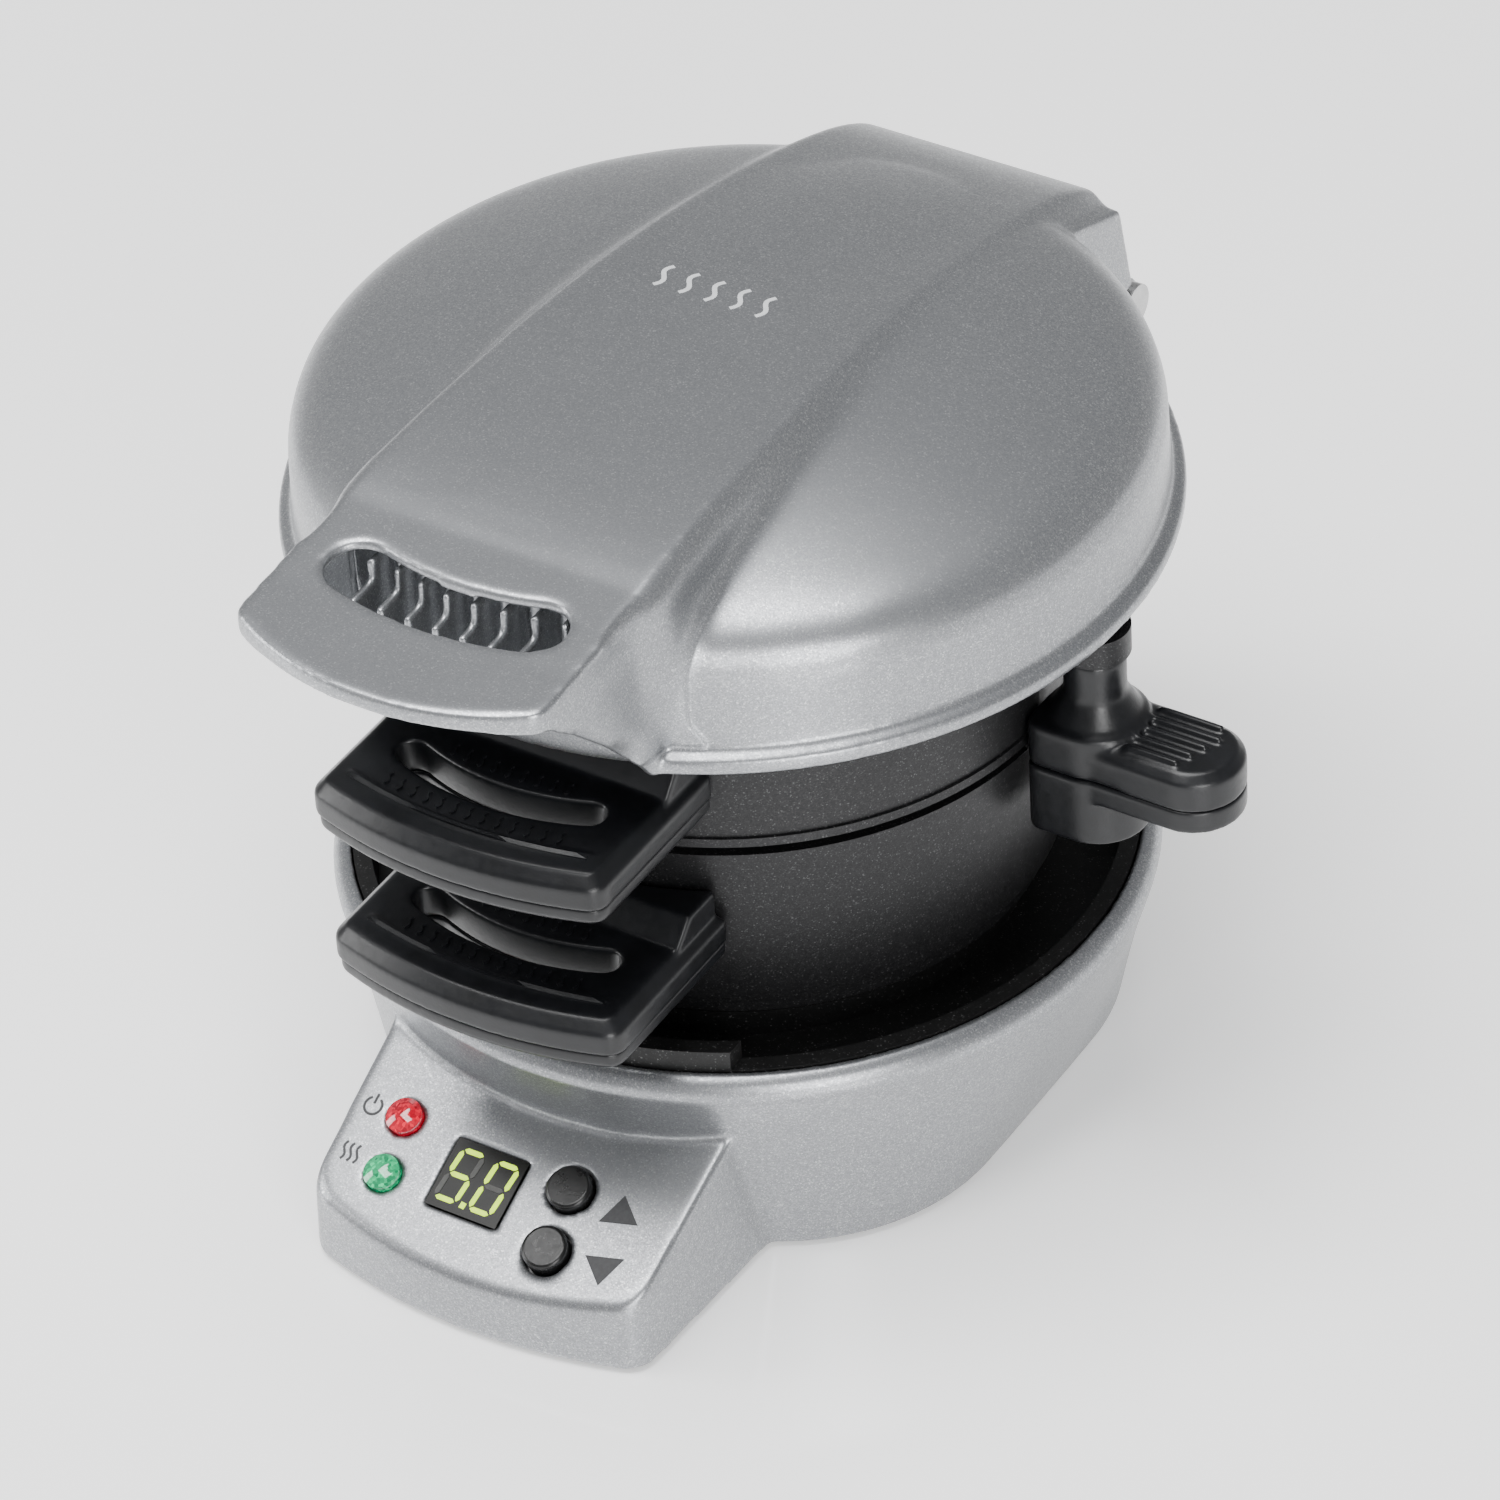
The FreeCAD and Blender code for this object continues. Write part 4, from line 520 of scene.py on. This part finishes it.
def display_digits():
    face = Face("display_window", PANEL_TILT)
    x, up = face.middle("display_window")
    low, high = span("display_window", 0)
    width = high - low
    half_w, half_h, stroke, slant = width * 0.145, width * 0.33, width * 0.065, 0.1
    digits = ((x - width * 0.25, FIVE), (x + width * 0.24, ZERO))

    def chosen(lit):
        def draw(bm):
            for middle_x, code in digits:
                strips = digit_strips(middle_x, up, half_w, half_h, slant)
                for (start, end), on in zip(strips, code):
                    if on == lit:
                        strip(bm, face, start, end, stroke, 0.12 * MM)
            if lit:
                dot_x, dot_up = x - width * 0.03, up - half_h
                ends = [(dot_x, dot_up - stroke * 0.6), (dot_x + stroke * 0.1, dot_up + stroke * 0.6)]
                ribbon(bm, face, ends, [stroke * 1.1] * 2, 0.12 * MM)
        return draw

    marks("display_lit", "display_window", SEGMENT_LIT, chosen(1))
    marks("display_unlit", "display_window", SEGMENT_OFF, chosen(0))


def wave(x, up, height, sway, count=9):
    """A rising wavy line."""
    steps = [k / (count - 1) for k in range(count)]
    return [(x + sway * math.sin(t * 2 * math.pi), up + (t - 0.5) * height) for t in steps]


def arc(x, up, radius, start, end, count=22):
    """Part of a circle, between two angles in degrees."""
    angles = [math.radians(start + (end - start) * k / (count - 1)) for k in range(count)]
    return [(x + radius * math.cos(a), up + radius * math.sin(a)) for a in angles]


def panel_marks():
    """Generic signs: on-off beside the red lamp, heat beside the green one, arrows beside the buttons."""
    face = Face("base_housing", PANEL_TILT)
    lift, line = 0.05 * MM, 0.5 * MM

    def signs(bm):
        x, up = face.middle("power_lens")
        x -= 6.9 * MM
        ring = arc(x, up, 1.7 * MM, 120, 420)
        ribbon(bm, face, ring, [line] * len(ring), lift)
        ribbon(bm, face, [(x, up + 0.4 * MM), (x, up + 2.4 * MM)], [line] * 2, lift)
        x, up = face.middle("preheat_lens")
        for k in (-1, 0, 1):
            path = wave(x - (7.8 - k * 1.35) * MM, up + 1.6 * MM, 3.6 * MM, 0.4 * MM)
            ribbon(bm, face, path, [line] * len(path), lift)

    def arrows(bm):
        half, tall, lean = 3.7 * MM, 5.4 * MM, math.radians(14)
        for node, way, across in (("up_button", 1, 10.6 * MM), ("down_button", -1, 11.4 * MM)):
            x, up = face.middle(node)
            x += across
            lean_x, lean_up = -way * math.sin(lean) * tall / 2, way * math.cos(lean) * tall / 2
            path = [(x - lean_x, up - lean_up), (x + lean_x, up + lean_up)]
            ribbon(bm, face, path, [half * 2, 0.05 * MM], lift)

    marks("panel_signs", "base_housing", PANEL_PRINT, signs)
    marks("panel_arrows", "base_housing", PANEL_PRINT, arrows)


def lid_marks():
    """Five heat waves on the lid's band, in place of its warning."""
    face = Face("lid_cover", 0)
    middle_x, middle_y, pitch = -3.9 * MM, 6.3 * MM, 5.2 * MM

    def draw(bm):
        for k in range(5):
            path = wave((k - 2) * pitch + middle_x, middle_y, 7.0 * MM, 0.8 * MM, 15)
            ribbon(bm, face, path, [0.9 * MM] * len(path), 0.06 * MM)

    marks("lid_heat_sign", "lid_cover", PALE_PRINT, draw)


def handle_marks():
    """A raised line near the front edge, and raised heat waves before and behind the finger slot."""
    for leaf in ("lower", "upper"):
        node = f"{leaf}_handle_top"
        face = Face(node, 0)
        front = span(node, 1)[0]
        half = span(node, 0)[1]

        def bowed(x, back):
            """How far up the face a mark lies that keeps a distance from the bowed front edge."""
            return front + back + 4.6 * MM * (x / half) ** 2

        def draw(bm):
            places = [half * 0.82 * (k / 12 - 1) for k in range(25)]
            line = [(x, bowed(x, 6.6 * MM)) for x in places]
            ribbon(bm, face, line, [0.7 * MM] * len(line), 0.3 * MM)
            for back, reach in ((10.4 * MM, 6), (23.2 * MM, 4)):
                for k in range(-reach, reach + 1):
                    x = k * 2.9 * MM
                    path = wave(x, bowed(x, back), 3.0 * MM, 0.35 * MM)
                    ribbon(bm, face, path, [0.55 * MM] * len(path), 0.4 * MM)

        marks(f"{leaf}_handle_relief", node, LOOKS["black_phenolic"], draw)


# ---------------------------------------------------------------- floor, light, camera
def build_stage():
    """A pale glossy floor that gives off a little light of its own, as a lit studio table does."""
    floor_half = 3.0
    mesh = bpy.data.meshes.new("floor")
    bm = bmesh.new()
    signs = ((-1, -1), (1, -1), (1, 1), (-1, 1))
    bm.faces.new([bm.verts.new((x * floor_half, y * floor_half, 0)) for x, y in signs])
    bm.to_mesh(mesh)
    bm.free()
    floor = bpy.data.objects.new("floor", mesh)
    bpy.context.scene.collection.objects.link(floor)
    look = Look("floor_pale", roughness=0.1)
    look.colour(look.ramp(look.noise(400 * MM), [(0.3, 0.9), (0.7, 0.93)]))
    look.set("Specular IOR Level", 0.9)
    look.set("Emission Color", (1.0, 1.0, 1.0, 1.0))
    look.set("Emission Strength", 0.45)
    mesh.materials.append(look.material)


def soft_light(name, at, aim, size, watts):
    data = bpy.data.lights.new(name, "AREA")
    data.shape = "RECTANGLE"
    data.size, data.size_y = size
    data.energy = watts
    light = bpy.data.objects.new(name, data)
    bpy.context.scene.collection.objects.link(light)
    light.location = at
    light.rotation_mode = "QUATERNION"
    light.rotation_quaternion = (Vector(at) - Vector(aim)).to_track_quat("Z", "Y")


def build_light():
    """A world that is white up to the horizon and darker overhead, and three soft boxes."""
    world = bpy.data.worlds.new("studio")
    bpy.context.scene.world = world
    world.use_nodes = True
    nodes, links = world.node_tree.nodes, world.node_tree.links
    coords = nodes.new("ShaderNodeTexCoord")
    split = nodes.new("ShaderNodeSeparateXYZ")
    ramp = nodes.new("ShaderNodeValToRGB")
    ramp.color_ramp.elements[0].position = 0.5
    ramp.color_ramp.elements[0].color = (1.0, 1.0, 1.0, 1)
    ramp.color_ramp.elements[1].position = 0.9
    ramp.color_ramp.elements[1].color = (0.55, 0.56, 0.58, 1)
    scale = nodes.new("ShaderNodeMath")
    scale.operation = "MULTIPLY_ADD"
    scale.inputs[1].default_value = 0.5
    scale.inputs[2].default_value = 0.5
    links.new(coords.outputs["Generated"], split.inputs["Vector"])
    links.new(split.outputs["Z"], scale.inputs[0])
    links.new(scale.outputs["Value"], ramp.inputs["Fac"])
    links.new(ramp.outputs["Color"], nodes["Background"].inputs["Color"])
    nodes["Background"].inputs["Strength"].default_value = 0.55
    centre = (0.0, 0.0, 0.09)
    soft_light("overhead", (-0.15, -0.3, 1.6), centre, (1.1, 1.1), 46.0)
    soft_light("front_right", (0.95, -0.85, 0.45), centre, (0.5, 0.7), 13.0)
    soft_light("front_left", (-1.05, -0.6, 0.5), centre, (0.4, 0.8), 9.0)


def build_camera():
    """A long lens from the front right and above, as in the photograph."""
    azimuth, elevation, roll = (math.radians(a) for a in (33.705, 38.448, -3.596))
    target = Vector((2.698, -1.578, 62.068)) * MM
    distance = 1364.692 * MM
    back = Vector((math.sin(azimuth) * math.cos(elevation), -math.cos(azimuth) * math.cos(elevation),
                   math.sin(elevation)))
    right = Vector((math.cos(azimuth), math.sin(azimuth), 0))
    up = back.cross(right)
    side = right * math.cos(roll) + up * math.sin(roll)
    top = up * math.cos(roll) - right * math.sin(roll)
    data = bpy.data.cameras.new("camera")
    data.sensor_width = 36.0
    data.lens = 181.8
    data.clip_start, data.clip_end = 0.1, 20.0
    camera = bpy.data.objects.new("camera", data)
    bpy.context.scene.collection.objects.link(camera)
    turn = Matrix((side, top, back)).transposed().to_4x4()
    camera.matrix_world = Matrix.Translation(target + back * distance) @ turn
    bpy.context.scene.camera = camera


dress_cad_nodes()
soften_base()
soften_lid()
soften_ring_handles()
soften_plate_handle()
display_digits()
panel_marks()
lid_marks()
handle_marks()
build_stage()
build_light()
build_camera()
